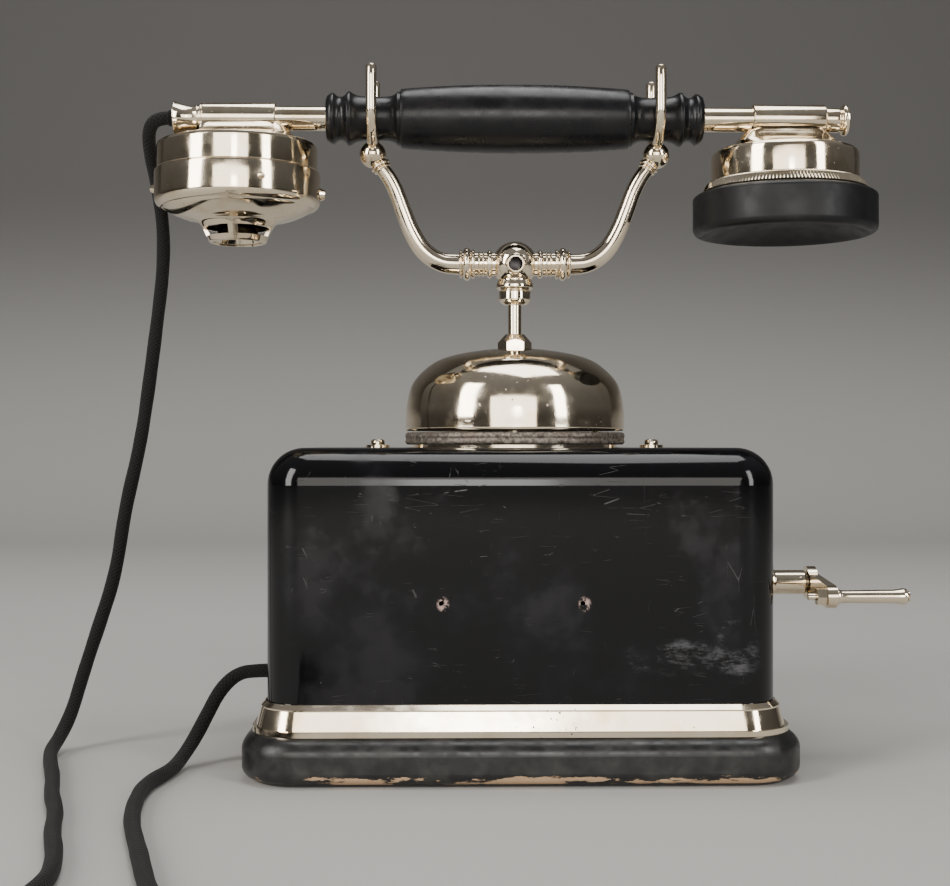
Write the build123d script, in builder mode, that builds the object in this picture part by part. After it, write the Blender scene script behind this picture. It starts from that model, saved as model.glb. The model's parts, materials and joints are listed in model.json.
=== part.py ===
"""Hand-crank magneto table telephone, with a cradle on a spring plunger above one bell.

Millimetres. The origin is the centre of the underside, +Z is up, the front faces -Y and the
crank is on +X.
"""
from build123d import *
import math
import os

os.makedirs("parts", exist_ok=True)

# ---------------------------------------------------------------- base and case
FELT_T = 1.0
PLINTH = (188.0, 140.0)
PLINTH_TOP = 16.0
BAND_BOTTOM = (180.0, 130.0)
BAND_TOP = (176.0, 126.0)
BAND_OPENING = (158.0, 108.0)
BAND_Z = (PLINTH_TOP, 26.0)
CASE = (172.0, 122.0)
CASE_Z = (BAND_Z[1], 111.0)
CASE_CORNER_R = 14.0
CASE_TOP_R = 12.5
CASE_WALL = 1.4
COVER_SCREW_X = 51.0
FRONT_HOLES_X = (-27.0, 20.0)
FRONT_HOLE_Z = 59.5
FRONT_HOLE_R = 0.8
PLATE_T = 2.0
CHASSIS = (124.0, 60.0)
CHASSIS_Z = 104.0
POST_AT = (56.0, 25.0)

# ---------------------------------------------------------------- bell and plunger
BELL_PLATE_R = 38.0
BELL_RING_R = 40.7
BELL_RING_Z = (112.0, 116.5)
BELL_RIM_Z = 117.0
BELL_R = 40.7
BELL_TOP_H = 30.6
BELL_WALL = 1.6
ROD_R = 2.5
RUNNING_GAP = 0.05
POST_R = 4.0
ROD_END_Z = 84.0
HUB_BOTTOM_Z = 164.0
BALL_Z = 179.2
BALL_R = 8.5
CLAPPER_X = 30.0
ARM_PIVOT_Z = 95.6

# ---------------------------------------------------------------- cradle
COLLAR_START = BALL_R
ARM_START = 20.7
ARM_R = 3.1
FORK_X = 52.8
FORK_BALL_Z = 219.9
FORK_BALL_R = 5.0
PRONG_R = 2.0
PRONG_Y = 13.0
PRONG_TOP = 250.3
FORK_BEND_Z = 235.8

# ---------------------------------------------------------------- handset
GRIP_Z = 233.3
GRIP_END = 70.0
TUBE_R = 4.5
SLEEVE_R = 5.7
SLEEVE_X = (88.6, 115.9)
SADDLE_TOP_Z = 231.4
TX_X = -103.0
TX_R = 29.6
TX_COVER_R = 30.6
TX_JOINT_Z = 213.0
TX_TOP_Z = 223.3
RX_X = 101.0
RX_R = 27.3
RX_TOP_Z = 221.3
CAP_R = 34.0
CAP_Z = (190.3, 206.0)
SHELL_T = 1.4

# ---------------------------------------------------------------- magneto and crank
CRANK_Z = 60.6
SHAFT_R = 3.0
GEAR_MODULE = 0.7
GEAR_TEETH = 60
PINION_TEETH = 12
ARMATURE_Z = CRANK_Z - GEAR_MODULE * (GEAR_TEETH + PINION_TEETH) / 2
ARMATURE_R = 12.0
ARMATURE_SHAFT_R = 2.5
MAGNETO_X = (-34.0, 6.0)
MAGNET_T = 12.0
MAGNET_PITCH = 14.0
BUSH_END_X = 108.5
ARM_X = (108.8, 112.2)
CRANK_PIN_Y = -30.0
CRANK_PIN_Z = 58.3
PIN_R = 1.2
GRIP_X = (112.5, 137.4)

# ---------------------------------------------------------------- cord
CORD_R = 2.5
CORD_START = (-128.5, 0.0, GRIP_Z)
GLAND_AT = (-87.2, -25.0, 32.0)
COIL_CENTRE = (-112.0, -245.0)
COIL_R = 27.5
COIL_H = 13.0
HANDSET_RUN = [
    CORD_START,
    (-133.0, 0.0, GRIP_Z),
    (-136.8, 2.6, 229.6),
    (-137.2, 8.4, 221.6),
    (-135.6, 13.6, 210.0),
    (-133.6, 15.0, 196.0),
    (-132.9, 12.0, 179.0),
    (-134.4, 8.0, 159.0),
    (-136.6, 4.6, 136.0),
    (-139.2, 0.6, 112.0),
    (-144.6, -1.0, 88.0),
    (-148.2, 0.4, 64.0),
    (-155.2, -0.8, 42.0),
    (-160.6, 0.2, 26.0),
    (-164.0, -1.6, 13.0),
    (-166.6, -9.0, 5.0),
    (-166.8, -21.0, 2.5),
    (-161.4, -40.0, 2.5),
    (-154.4, -62.0, 2.5),
    (-149.0, -84.0, 2.5),
    (-141.4, -106.0, 2.5),
    (-136.8, -128.0, 2.5),
    (-129.2, -152.0, 2.5),
    (-124.6, -176.0, 2.5),
    (-129.0, -200.0, 2.5),
    (-138.0, -220.0, 2.5),
    (COIL_CENTRE[0] - COIL_R, COIL_CENTRE[1] + 6.0, 2.5),
]
CASE_RUN = [
    (-84.5, GLAND_AT[1], GLAND_AT[2]),
    (-92.0, -25.0, GLAND_AT[2]),
    (-99.4, -24.6, 31.0),
    (-105.4, -26.0, 25.4),
    (-109.8, -28.0, 16.6),
    (-114.0, -31.0, 8.2),
    (-117.2, -39.0, 3.0),
    (-118.0, -52.0, 2.5),
    (-122.4, -72.0, 2.5),
    (-120.6, -95.0, 2.5),
    (-116.4, -119.0, 2.5),
    (-107.6, -149.0, 2.5),
    (-99.6, -178.0, 2.5),
    (-92.0, -200.0, 3.0),
    (-85.6, -220.0, 7.0),
    (COIL_CENTRE[0] + COIL_R, COIL_CENTRE[1] + 6.0, 9.8),
]


def save(piece, name):
    """Label a finished sub-part and write its STEP file."""
    piece.part.label = name
    export_step(piece.part, f"parts/{name}.step")


def upright(x=0.0):
    """Sketch plane through the vertical axis at x: its x is the row's X, its y is height."""
    return Plane(origin=(x, 0, 0), x_dir=(1, 0, 0), z_dir=(0, -1, 0))


def turned_upright(name, points, x=0.0):
    """A turned piece: (radius, height) points revolved about the vertical axis at x."""
    with BuildPart() as piece:
        with BuildSketch(upright(x)):
            with BuildLine():
                Polyline(*points, close=True)
            make_face()
        revolve(axis=Axis((x, 0, 0), (0, 0, 1)))
    save(piece, name)


def turned_along(name, points, height, y=0.0):
    """A turned piece: (x, radius) points revolved about the line along X at y and height."""
    with BuildPart() as piece:
        with BuildSketch(Plane(origin=(0, y, height), x_dir=(1, 0, 0), z_dir=(0, -1, 0))):
            with BuildLine():
                Polyline(*points, close=True)
            make_face()
        revolve(axis=Axis((0, y, height), (1, 0, 0)))
    save(piece, name)


def plate(size, corner, low, high):
    """A flat plate with rounded corners between two heights, for the block that is open."""
    with BuildSketch(Plane.XY.offset(low)) as outline:
        RectangleRounded(size[0], size[1], corner)
    extrude(outline.sketch, amount=high - low)


# ================================================================ base
with BuildPart() as felt:
    plate((PLINTH[0] - 9, PLINTH[1] - 9), 15, 0, FELT_T)
save(felt, "base_felt")

with BuildPart() as plinth:
    plate(PLINTH, 19, FELT_T, PLINTH_TOP)
    fillet(plinth.faces().sort_by(Axis.Z)[-1].edges(), 5.5)
    fillet(plinth.faces().sort_by(Axis.Z)[0].edges(), 4.0)
save(plinth, "base_plinth")

with BuildPart() as band:
    with BuildSketch(Plane.XY.offset(BAND_Z[0])):
        RectangleRounded(*BAND_BOTTOM, 17)
    with BuildSketch(Plane.XY.offset(BAND_Z[1] - 2)):
        RectangleRounded(*BAND_TOP, 15.5)
    loft()
    plate(BAND_TOP, 15.5, BAND_Z[1] - 2, BAND_Z[1])
    chamfer(band.faces().sort_by(Axis.Z)[-1].edges(), 1.5)
    plate((BAND_BOTTOM[0] + 1.6, BAND_BOTTOM[1] + 1.6), 17.8, BAND_Z[0], BAND_Z[0] + 1.8)
    with BuildSketch(Plane.XY.offset(BAND_Z[0])):
        RectangleRounded(*BAND_OPENING, 8)
    extrude(amount=BAND_Z[1] - BAND_Z[0], mode=Mode.SUBTRACT)
save(band, "trim_band")

with BuildPart() as base_plate:
    plate((BAND_OPENING[0] - 1, BAND_OPENING[1] - 1), 7.5, PLINTH_TOP, PLINTH_TOP + PLATE_T)
    with BuildSketch(Plane.XY.offset(PLINTH_TOP + PLATE_T)):
        with GridLocations(140, 90, 2, 2):
            Circle(3.6)
            Rectangle(8, 0.9, mode=Mode.SUBTRACT)
    extrude(amount=2)
save(base_plate, "base_plate")

# ================================================================ case cover
with BuildPart() as cover:
    plate(CASE, CASE_CORNER_R, *CASE_Z)
    fillet(cover.faces().sort_by(Axis.Z)[-1].edges(), CASE_TOP_R)
    offset(amount=-CASE_WALL, openings=cover.faces().sort_by(Axis.Z)[0])
    with BuildSketch(Plane.XY.offset(CASE_Z[1])):
        Circle(POST_R)
        with Locations((CLAPPER_X, 0)):
            Circle(4)
        with Locations((-COVER_SCREW_X, 0), (COVER_SCREW_X, 0)):
            Circle(1.5)
    extrude(amount=-3 * CASE_WALL, mode=Mode.SUBTRACT)
    with BuildSketch(Plane.XZ.offset(CASE[1] / 2)):
        with Locations(*[(x, FRONT_HOLE_Z) for x in FRONT_HOLES_X]):
            Circle(FRONT_HOLE_R)
    extrude(amount=-3 * CASE_WALL, mode=Mode.SUBTRACT)
    with BuildSketch(Plane.YZ.offset(CASE[0] / 2)):
        with Locations((0, CRANK_Z)):
            Circle(4.5)
    extrude(amount=-3 * CASE_WALL, mode=Mode.SUBTRACT)
    with BuildSketch(Plane.YZ.offset(-CASE[0] / 2)):
        with Locations((GLAND_AT[1], GLAND_AT[2])):
            Circle(4.2)
    extrude(amount=3 * CASE_WALL, mode=Mode.SUBTRACT)
save(cover, "case_cover")

with BuildPart() as washers:
    with BuildSketch(Plane.XY.offset(CASE_Z[1])):
        with Locations((-COVER_SCREW_X, 0), (COVER_SCREW_X, 0)):
            Circle(4.5)
            Circle(1.5, mode=Mode.SUBTRACT)
    extrude(amount=0.9)
save(washers, "cover_screw_washers")

with BuildPart() as cover_screws:
    with BuildSketch(Plane.XY.offset(CASE_Z[1] + 0.9)):
        with Locations((-COVER_SCREW_X, 0), (COVER_SCREW_X, 0)):
            Circle(2.6)
    extrude(amount=2.1)
    fillet(cover_screws.faces().group_by(Axis.Z)[-1].edges(), 1.2)
    with BuildSketch(Plane.XY.offset(CASE_Z[1] + 3.0)):
        with Locations((-COVER_SCREW_X, 0), (COVER_SCREW_X, 0)):
            Rectangle(0.8, 7)
    extrude(amount=-1.0, mode=Mode.SUBTRACT)
    with BuildSketch(Plane.XY.offset(CHASSIS_Z - 2)):
        with Locations((-COVER_SCREW_X, 0), (COVER_SCREW_X, 0)):
            Circle(1.5)
    extrude(amount=CASE_Z[1] + 1.0 - CHASSIS_Z + 2)
save(cover_screws, "cover_screws")

with BuildPart() as gland:
    with BuildSketch(Plane.YZ.offset(GLAND_AT[0])):
        with Locations((GLAND_AT[1], GLAND_AT[2])):
            Circle(5.2)
    extrude(amount=abs(GLAND_AT[0]) - CASE[0] / 2)
    with BuildSketch(Plane.YZ.offset(-CASE[0] / 2)):
        with Locations((GLAND_AT[1], GLAND_AT[2])):
            Circle(4.2)
    extrude(amount=2.6)
    with BuildSketch(Plane.YZ.offset(GLAND_AT[0])):
        with Locations((GLAND_AT[1], GLAND_AT[2])):
            Circle(CORD_R)
    extrude(amount=6, mode=Mode.SUBTRACT)
save(gland, "cord_gland")

# ================================================================ chassis
with BuildPart() as chassis:
    plate(CHASSIS, 4, CHASSIS_Z, CHASSIS_Z + PLATE_T)
    with BuildSketch(Plane.XY.offset(CHASSIS_Z + PLATE_T)):
        with Locations((-COVER_SCREW_X, 0), (COVER_SCREW_X, 0)):
            Circle(4)
    extrude(amount=CASE_Z[1] - CASE_WALL - CHASSIS_Z - PLATE_T)
    for y in (-9, 7):
        with BuildSketch(Plane.XZ.offset(y)):
            with BuildLine():
                Polyline((CLAPPER_X - 3, ARM_PIVOT_Z - 3), (CLAPPER_X + 3, ARM_PIVOT_Z - 3),
                         (CLAPPER_X + 5, CHASSIS_Z), (CLAPPER_X - 5, CHASSIS_Z), close=True)
            make_face()
        extrude(amount=2)
    with BuildSketch(Plane.XZ.offset(-10)):
        with Locations((CLAPPER_X, ARM_PIVOT_Z)):
            Circle(1)
    extrude(amount=20, mode=Mode.SUBTRACT)
    with BuildSketch(Plane.YZ.offset(-4)):
        with BuildLine():
            Polyline((-13, 78.4), (13, 78.4), (13, CHASSIS_Z), (11.5, CHASSIS_Z),
                     (11.5, 80), (-11.5, 80), (-11.5, CHASSIS_Z), (-13, CHASSIS_Z), close=True)
        make_face()
    extrude(amount=8)
    with BuildSketch(Plane.XY.offset(CHASSIS_Z)):
        Circle(POST_R)
        with Locations((CLAPPER_X, 0)):
            Circle(4)
        with Locations((-COVER_SCREW_X, 0), (COVER_SCREW_X, 0)):
            Circle(1.5)
    extrude(amount=CASE_Z[1] - CHASSIS_Z, mode=Mode.SUBTRACT)
save(chassis, "chassis_plate")

with BuildPart() as chassis_posts:
    with BuildSketch(Plane.XY.offset(PLINTH_TOP + PLATE_T)):
        with GridLocations(2 * POST_AT[0], 2 * POST_AT[1], 2, 2):
            Circle(3)
    extrude(amount=CHASSIS_Z - PLINTH_TOP - PLATE_T)
save(chassis_posts, "chassis_posts")


# ================================================================ bell
with BuildPart() as seat:
    with BuildSketch(Plane.XY.offset(CASE_Z[1])):
        Circle(BELL_PLATE_R)
        Circle(POST_R, mode=Mode.SUBTRACT)
        with Locations((CLAPPER_X, 0)):
            Circle(4, mode=Mode.SUBTRACT)
    extrude(amount=BELL_RING_Z[0] - CASE_Z[1])
save(seat, "bell_seat_plate")

turned_upright("bell_base_ring", [
    (34.4, BELL_RING_Z[0]),
    (BELL_RING_R - 0.6, BELL_RING_Z[0]),
    (BELL_RING_R, BELL_RING_Z[0] + 0.8),
    (BELL_RING_R, BELL_RING_Z[1] - 0.6),
    (BELL_RING_R - 0.6, BELL_RING_Z[1]),
    (34.4, BELL_RING_Z[1]),
])

with BuildPart() as gong:
    with BuildSketch(upright()):
        with BuildLine():
            rim = Line((BELL_R - BELL_WALL, BELL_RIM_Z), (BELL_R, BELL_RIM_Z))
            outside = Spline(
                rim @ 1,
                (BELL_R - 0.3, BELL_RIM_Z + 8.6),
                (BELL_R - 2.6, BELL_RIM_Z + 17.6),
                (BELL_R - 9.3, BELL_RIM_Z + 24.5),
                (BELL_R - 16.9, BELL_RIM_Z + 27.9),
                (12.4, BELL_RIM_Z + 30.0),
                (POST_R, BELL_RIM_Z + BELL_TOP_H),
            )
            hole = Line(outside @ 1, (POST_R, BELL_RIM_Z + BELL_TOP_H - BELL_WALL))
            Spline(
                hole @ 1,
                (12.0, BELL_RIM_Z + 28.4),
                (BELL_R - 17.6, BELL_RIM_Z + 26.4),
                (BELL_R - 10.4, BELL_RIM_Z + 23.3),
                (BELL_R - 4.1, BELL_RIM_Z + 17.0),
                (BELL_R - 1.9, BELL_RIM_Z + 8.4),
                rim @ 0,
            )
        make_face()
    revolve(axis=Axis.Z)
save(gong, "bell_gong")

BELL_TOP_Z = BELL_RIM_Z + BELL_TOP_H
with BuildPart() as nut:
    with BuildSketch(Plane.XY.offset(BELL_TOP_Z)):
        RegularPolygon(6.3, 6)
    extrude(amount=5.4)
    with BuildSketch(upright()):
        with BuildLine():
            Polyline((0, BELL_TOP_Z), (6.4, BELL_TOP_Z), (6.4, BELL_TOP_Z + 2.2),
                     (5.2, BELL_TOP_Z + 3.6), (3.6, BELL_TOP_Z + 5.4), (0, BELL_TOP_Z + 5.4), close=True)
        make_face()
    revolve(axis=Axis.Z, mode=Mode.INTERSECT)
    with BuildSketch(Plane.XY.offset(BELL_TOP_Z)):
        Circle(POST_R)
    extrude(amount=2.8, mode=Mode.SUBTRACT)
    with BuildSketch(Plane.XY.offset(BELL_TOP_Z)):
        Circle(ROD_R + RUNNING_GAP)
    extrude(amount=6, mode=Mode.SUBTRACT)
save(nut, "bell_nut")

turned_upright("post_tube", [
    (ROD_R + RUNNING_GAP, CHASSIS_Z),
    (POST_R, CHASSIS_Z),
    (POST_R, CHASSIS_Z + PLATE_T),
    (8.0, CHASSIS_Z + PLATE_T),
    (8.0, CHASSIS_Z + PLATE_T + 3.0),
    (POST_R, CHASSIS_Z + PLATE_T + 3.0),
    (POST_R, BELL_TOP_Z - 5.0),
    (6.5, BELL_TOP_Z - 4.4),
    (6.5, BELL_TOP_Z - BELL_WALL - 0.5),
    (POST_R, BELL_TOP_Z - BELL_WALL - 0.5),
    (POST_R, BELL_TOP_Z + 2.8),
    (ROD_R + RUNNING_GAP, BELL_TOP_Z + 2.8),
])

# ================================================================ ringer under the bell
COIL_X = (CLAPPER_X - 9, CLAPPER_X + 9)
YOKE_Z = 68.0
CORE_TOP = 92.6
with BuildPart() as yoke:
    with BuildSketch(Plane.XZ.offset(-6)):
        with BuildLine():
            Polyline((14, YOKE_Z), (48.8, YOKE_Z), (48.8, CHASSIS_Z), (46.4, CHASSIS_Z),
                     (46.4, YOKE_Z + 3), (14, YOKE_Z + 3), close=True)
        make_face()
    extrude(amount=12)
    with BuildSketch(Plane.XY.offset(YOKE_Z + 3)):
        with Locations(*[(x, 0) for x in COIL_X]):
            Circle(3)
    extrude(amount=CORE_TOP - YOKE_Z - 3)
save(yoke, "ringer_yoke")

with BuildPart() as coils:
    with BuildSketch(Plane.XY.offset(YOKE_Z + 3)):
        with Locations(*[(x, 0) for x in COIL_X]):
            Circle(7)
            Circle(3, mode=Mode.SUBTRACT)
    extrude(amount=18)
save(coils, "ringer_coils")

with BuildPart() as clapper:
    with BuildSketch(Plane.XY.offset(ARM_PIVOT_Z - 1.5)):
        with Locations((CLAPPER_X, 0)):
            Rectangle(30, 8)
    extrude(amount=3)
    with BuildSketch(Plane.XZ.offset(-8.9)):
        with Locations((CLAPPER_X, ARM_PIVOT_Z)):
            Circle(0.95)
    extrude(amount=17.8)
    with BuildSketch(Plane.XY.offset(ARM_PIVOT_Z)):
        with Locations((CLAPPER_X, 0)):
            Circle(1.0)
    extrude(amount=32)
    with Locations((CLAPPER_X + 0.6, 0, 129.0)):
        Sphere(3.8)
save(clapper, "bell_clapper")

# ================================================================ plunger, hook switch, spring
turned_upright("hook_plunger", [
    (0, ROD_END_Z),
    (ROD_R - 0.6, ROD_END_Z),
    (ROD_R, ROD_END_Z + 0.6),
    (ROD_R, 88.0),
    (5.5, 88.0),
    (5.5, 91.0),
    (4.6, 92.0),
    (ROD_R, 92.0),
    (ROD_R, HUB_BOTTOM_Z + 3.0),
    (0, HUB_BOTTOM_Z + 3.0),
])
turned_upright("hook_spring", [(3.2, 80.0), (4.6, 80.0), (4.6, 87.8), (3.2, 87.8)])

with BuildPart() as switch_block:
    with BuildSketch(Plane.XY.offset(97.0)):
        with Locations((-26, 0)):
            Rectangle(8, 10)
    extrude(amount=CHASSIS_Z - 97.0)
    for height in (98.4, 100.4, 102.4):
        with BuildSketch(Plane.XY.offset(height)):
            with Locations((-26, 0)):
                Rectangle(10, 6)
        extrude(amount=0.4, mode=Mode.SUBTRACT)
save(switch_block, "hook_switch_block")

with BuildPart() as leaves:
    for height, tip in ((98.4, -4.0), (100.4, -8.0), (102.4, -8.0)):
        with BuildSketch(Plane.XY.offset(height)):
            with Locations(((tip - 34) / 2, 0)):
                Rectangle(tip + 34, 6)
        extrude(amount=0.4)
save(leaves, "hook_switch_springs")

# ================================================================ cradle
with BuildPart() as hub:
    with BuildSketch(upright()):
        with BuildLine():
            Polyline((0, HUB_BOTTOM_Z), (4.2, HUB_BOTTOM_Z), (5.4, HUB_BOTTOM_Z + 0.9),
                     (5.9, HUB_BOTTOM_Z + 2.0), (5.9, HUB_BOTTOM_Z + 4.9), (5.5, HUB_BOTTOM_Z + 5.3),
                     (6.3, HUB_BOTTOM_Z + 5.6), (6.9, HUB_BOTTOM_Z + 6.3), (6.9, HUB_BOTTOM_Z + 7.3),
                     (6.2, HUB_BOTTOM_Z + 9), (6.2, BALL_Z), (0, BALL_Z), close=True)
        make_face()
    revolve(axis=Axis.Z)
    with Locations((0, 0, BALL_Z)):
        Sphere(BALL_R)
    with BuildSketch(Plane.YZ.offset(-COLLAR_START)):
        with Locations((0, BALL_Z)):
            Circle(5)
    extrude(amount=2 * COLLAR_START)
    with BuildSketch(Plane.XZ.offset(BALL_R + 0.3)):
        with Locations((0, BALL_Z - 0.7)):
            Circle(3.2)
    extrude(amount=-4)
    with BuildSketch(Plane.XZ.offset(BALL_R + 1)):
        with Locations((0, BALL_Z - 0.7)):
            Circle(2.2)
    extrude(amount=-7, mode=Mode.SUBTRACT)
    with BuildSketch(Plane.XY.offset(HUB_BOTTOM_Z)):
        Circle(ROD_R)
    extrude(amount=3, mode=Mode.SUBTRACT)
save(hub, "cradle_hub")

# Beads along each collar: start, end, foot radius and crown radius.
COLLAR_BEADS = [
    (BALL_R, 10.4, 4.6, 5.3),
    (11.4, 12.2, 4.4, 4.8),
    (12.9, 13.7, 4.4, 4.8),
    (14.9, 16.3, 5.0, 5.5),
    (16.5, 19.2, 5.3, 6.15),
    (19.5, ARM_START, 4.6, 5.3),
]
ARM_ROUTE = [
    (ARM_START, 0, BALL_Z),
    (34.8, 0, BALL_Z),
    (44.4, 0, BALL_Z + 28.3),
    (50.2, 0, BALL_Z + 37.1),
]
ARM_END_DIRECTION = (Vector(*ARM_ROUTE[3]) - Vector(*ARM_ROUTE[2])).normalized()


def sided(point, side):
    """A point of the right-hand side, taken to the side given by the sign."""
    return (side * point[0], point[1], point[2])


with BuildPart() as collars:
    with BuildSketch(Plane(origin=(0, 0, BALL_Z), x_dir=(1, 0, 0), z_dir=(0, -1, 0))):
        for start, end, foot_r, crown_r in COLLAR_BEADS:
            with BuildLine():
                Polyline((end, foot_r), (end, 0), (start, 0), (start, foot_r))
                ThreePointArc((start, foot_r), ((start + end) / 2, crown_r), (end, foot_r))
            make_face()
        with Locations(((BALL_R + ARM_START) / 2, 2.15)):
            Rectangle(ARM_START - BALL_R, 4.3)
    revolve(axis=Axis((0, 0, BALL_Z), (1, 0, 0)))
    mirror(about=Plane.YZ)
save(collars, "cradle_collars")

with BuildPart() as arms:
    with BuildLine():
        route = FilletPolyline(*ARM_ROUTE, radius=[13.7, 15.0])
    with BuildSketch(Plane(origin=route @ 0, z_dir=route % 0)):
        Circle(ARM_R)
    sweep()
    mirror(about=Plane.YZ)
save(arms, "cradle_arms")

for side, word in ((-1, "left"), (1, "right")):
    with BuildPart() as fork:
        with BuildLine():
            FilletPolyline(
                (side * FORK_X, -PRONG_Y, PRONG_TOP),
                (side * FORK_X, -PRONG_Y, FORK_BEND_Z - PRONG_Y),
                (side * FORK_X, PRONG_Y, FORK_BEND_Z - PRONG_Y),
                (side * FORK_X, PRONG_Y, PRONG_TOP),
                radius=PRONG_Y - 0.01,
            )
        with BuildSketch(Plane(origin=(side * FORK_X, -PRONG_Y, PRONG_TOP), z_dir=(0, 0, -1))):
            Circle(PRONG_R)
        sweep()
        chamfer(fork.edges().group_by(Axis.Z)[-1], 0.6)
        with Locations((side * FORK_X, 0, FORK_BALL_Z)):
            Sphere(FORK_BALL_R)
        with BuildSketch(Plane(origin=sided(ARM_ROUTE[3], side),
                               z_dir=(-side * ARM_END_DIRECTION.X, 0, -ARM_END_DIRECTION.Z))):
            Circle(ARM_R + 1)
        extrude(amount=4, mode=Mode.SUBTRACT)
    save(fork, f"fork_{word}")

# ================================================================ handset
with BuildPart() as grip:
    with BuildSketch(Plane(origin=(0, 0, GRIP_Z), x_dir=(1, 0, 0), z_dir=(0, -1, 0))):
        with BuildLine():
            ThreePointArc((0, 12.55), (21.5, 12.1), (42.0, 10.9))
            Polyline((42.0, 10.9), (42.4, 10.0), (43.6, 9.9))
            ThreePointArc((43.6, 9.9), (45.2, 8.6), (48.0, 8.05))
            Line((48.0, 8.05), (54.6, 8.05))
            ThreePointArc((54.6, 8.05), (58.6, 8.45), (61.0, 9.9))
            Line((61.0, 9.9), (62.0, 9.9))
            ThreePointArc((62.0, 9.9), (64.6, 7.95), (67.3, 9.4))
            Polyline((67.3, 9.4), (68.2, 9.3), (69.6, 8.4), (GRIP_END, 7.4), (GRIP_END, TUBE_R),
                     (0, TUBE_R), (0, 12.55))
        make_face()
    revolve(axis=Axis((0, 0, GRIP_Z), (1, 0, 0)))
    mirror(about=Plane.YZ)
save(grip, "handset_grip")

turned_along("handset_tube", [(-SLEEVE_X[1], 3.3), (SLEEVE_X[1], 3.3), (SLEEVE_X[1], TUBE_R),
                              (-SLEEVE_X[1], TUBE_R)], GRIP_Z)
turned_along("cord_trumpet", [
    (-SLEEVE_X[1], 3.0), (-SLEEVE_X[1], 5.5), (-116.6, 5.5), (-116.9, 4.9), (-117.4, 4.9), (-117.7, 5.2),
    (-120.0, 5.2), (-122.4, 5.4), (-124.4, 5.8), (-126.0, 6.5), (-126.3, 6.3), (-126.3, 3.0),
], GRIP_Z)
turned_along("cord_sleeve", [(-118.0, 0), (-118.0, 3.0), (-128.0, 3.0), (CORD_START[0], 2.6),
                             (CORD_START[0], 0)], GRIP_Z)
turned_along("end_button", [
    (SLEEVE_X[1], 0), (SLEEVE_X[1], 4.6), (121.0, 4.6), (121.4, 4.0), (122.0, 4.0), (122.4, 5.6),
    (123.8, 5.85), (124.6, 5.4), (124.9, 0),
], GRIP_Z)


def stem(name, side, x, base_z, radius):
    """The sleeve on the handset tube with the flared boss that carries a capsule at x."""
    with BuildPart() as piece:
        with BuildSketch(Plane(origin=(0, 0, GRIP_Z), x_dir=(1, 0, 0), z_dir=(0, -1, 0))):
            with BuildLine():
                Polyline(
                    (side * SLEEVE_X[0], 0), (side * SLEEVE_X[0], SLEEVE_R - 0.4),
                    (side * (SLEEVE_X[0] + 0.4), SLEEVE_R), (side * SLEEVE_X[1], SLEEVE_R),
                    (side * SLEEVE_X[1], 0), close=True)
            make_face()
        revolve(axis=Axis((0, 0, GRIP_Z), (1, 0, 0)))
        with BuildPart(mode=Mode.PRIVATE) as saddle:
            with BuildSketch(Plane.YZ.offset(x - radius)):
                with BuildLine():
                    foot = Polyline((0, SADDLE_TOP_Z), (0, base_z), (radius, base_z), (radius, base_z + 0.9))
                    ThreePointArc(foot @ 1, (SLEEVE_R + 5.3, base_z + 3.3), (SLEEVE_R - 0.4, SADDLE_TOP_Z))
                    Line((SLEEVE_R - 0.4, SADDLE_TOP_Z), (0, SADDLE_TOP_Z))
                make_face()
                mirror(about=Plane.YZ)
            extrude(amount=2 * radius)
            with BuildSketch(upright(x)):
                with BuildLine():
                    foot = Polyline((0, SADDLE_TOP_Z), (0, base_z), (radius, base_z), (radius, base_z + 3.6))
                    ThreePointArc(foot @ 1, (radius - 2.2, base_z + 6.2), (radius - 5.0, SADDLE_TOP_Z))
                    Line((radius - 5.0, SADDLE_TOP_Z), (0, SADDLE_TOP_Z))
                make_face()
            revolve(axis=Axis((x, 0, 0), (0, 0, 1)), mode=Mode.INTERSECT)
            with BuildSketch(Plane.YZ.offset(side * SLEEVE_X[1])):
                with Locations((0, GRIP_Z)):
                    Circle(SLEEVE_R + 0.9)
            extrude(amount=side * 20, mode=Mode.SUBTRACT)
        add(saddle)
        with BuildSketch(Plane.YZ.offset(x - 40)):
            with Locations((0, GRIP_Z)):
                Circle(TUBE_R)
        extrude(amount=80, mode=Mode.SUBTRACT)
    save(piece, name)


stem("transmitter_stem", -1, TX_X, TX_TOP_Z, 20.5)
stem("receiver_stem", 1, RX_X, RX_TOP_Z, 18.4)

# The transmitter: a case above, a cover below it that ends in a pierced mouthpiece cone.
turned_upright("transmitter_case", [
    (0, TX_TOP_Z - SHELL_T), (26.8, TX_TOP_Z - SHELL_T), (27.4, TX_TOP_Z - 2.2), (27.4, 208.0),
    (29.0, 208.0), (29.0, TX_JOINT_Z), (TX_R, TX_JOINT_Z), (TX_R, TX_TOP_Z - 2.0), (28.6, TX_TOP_Z),
    (0, TX_TOP_Z),
], TX_X)

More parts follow.
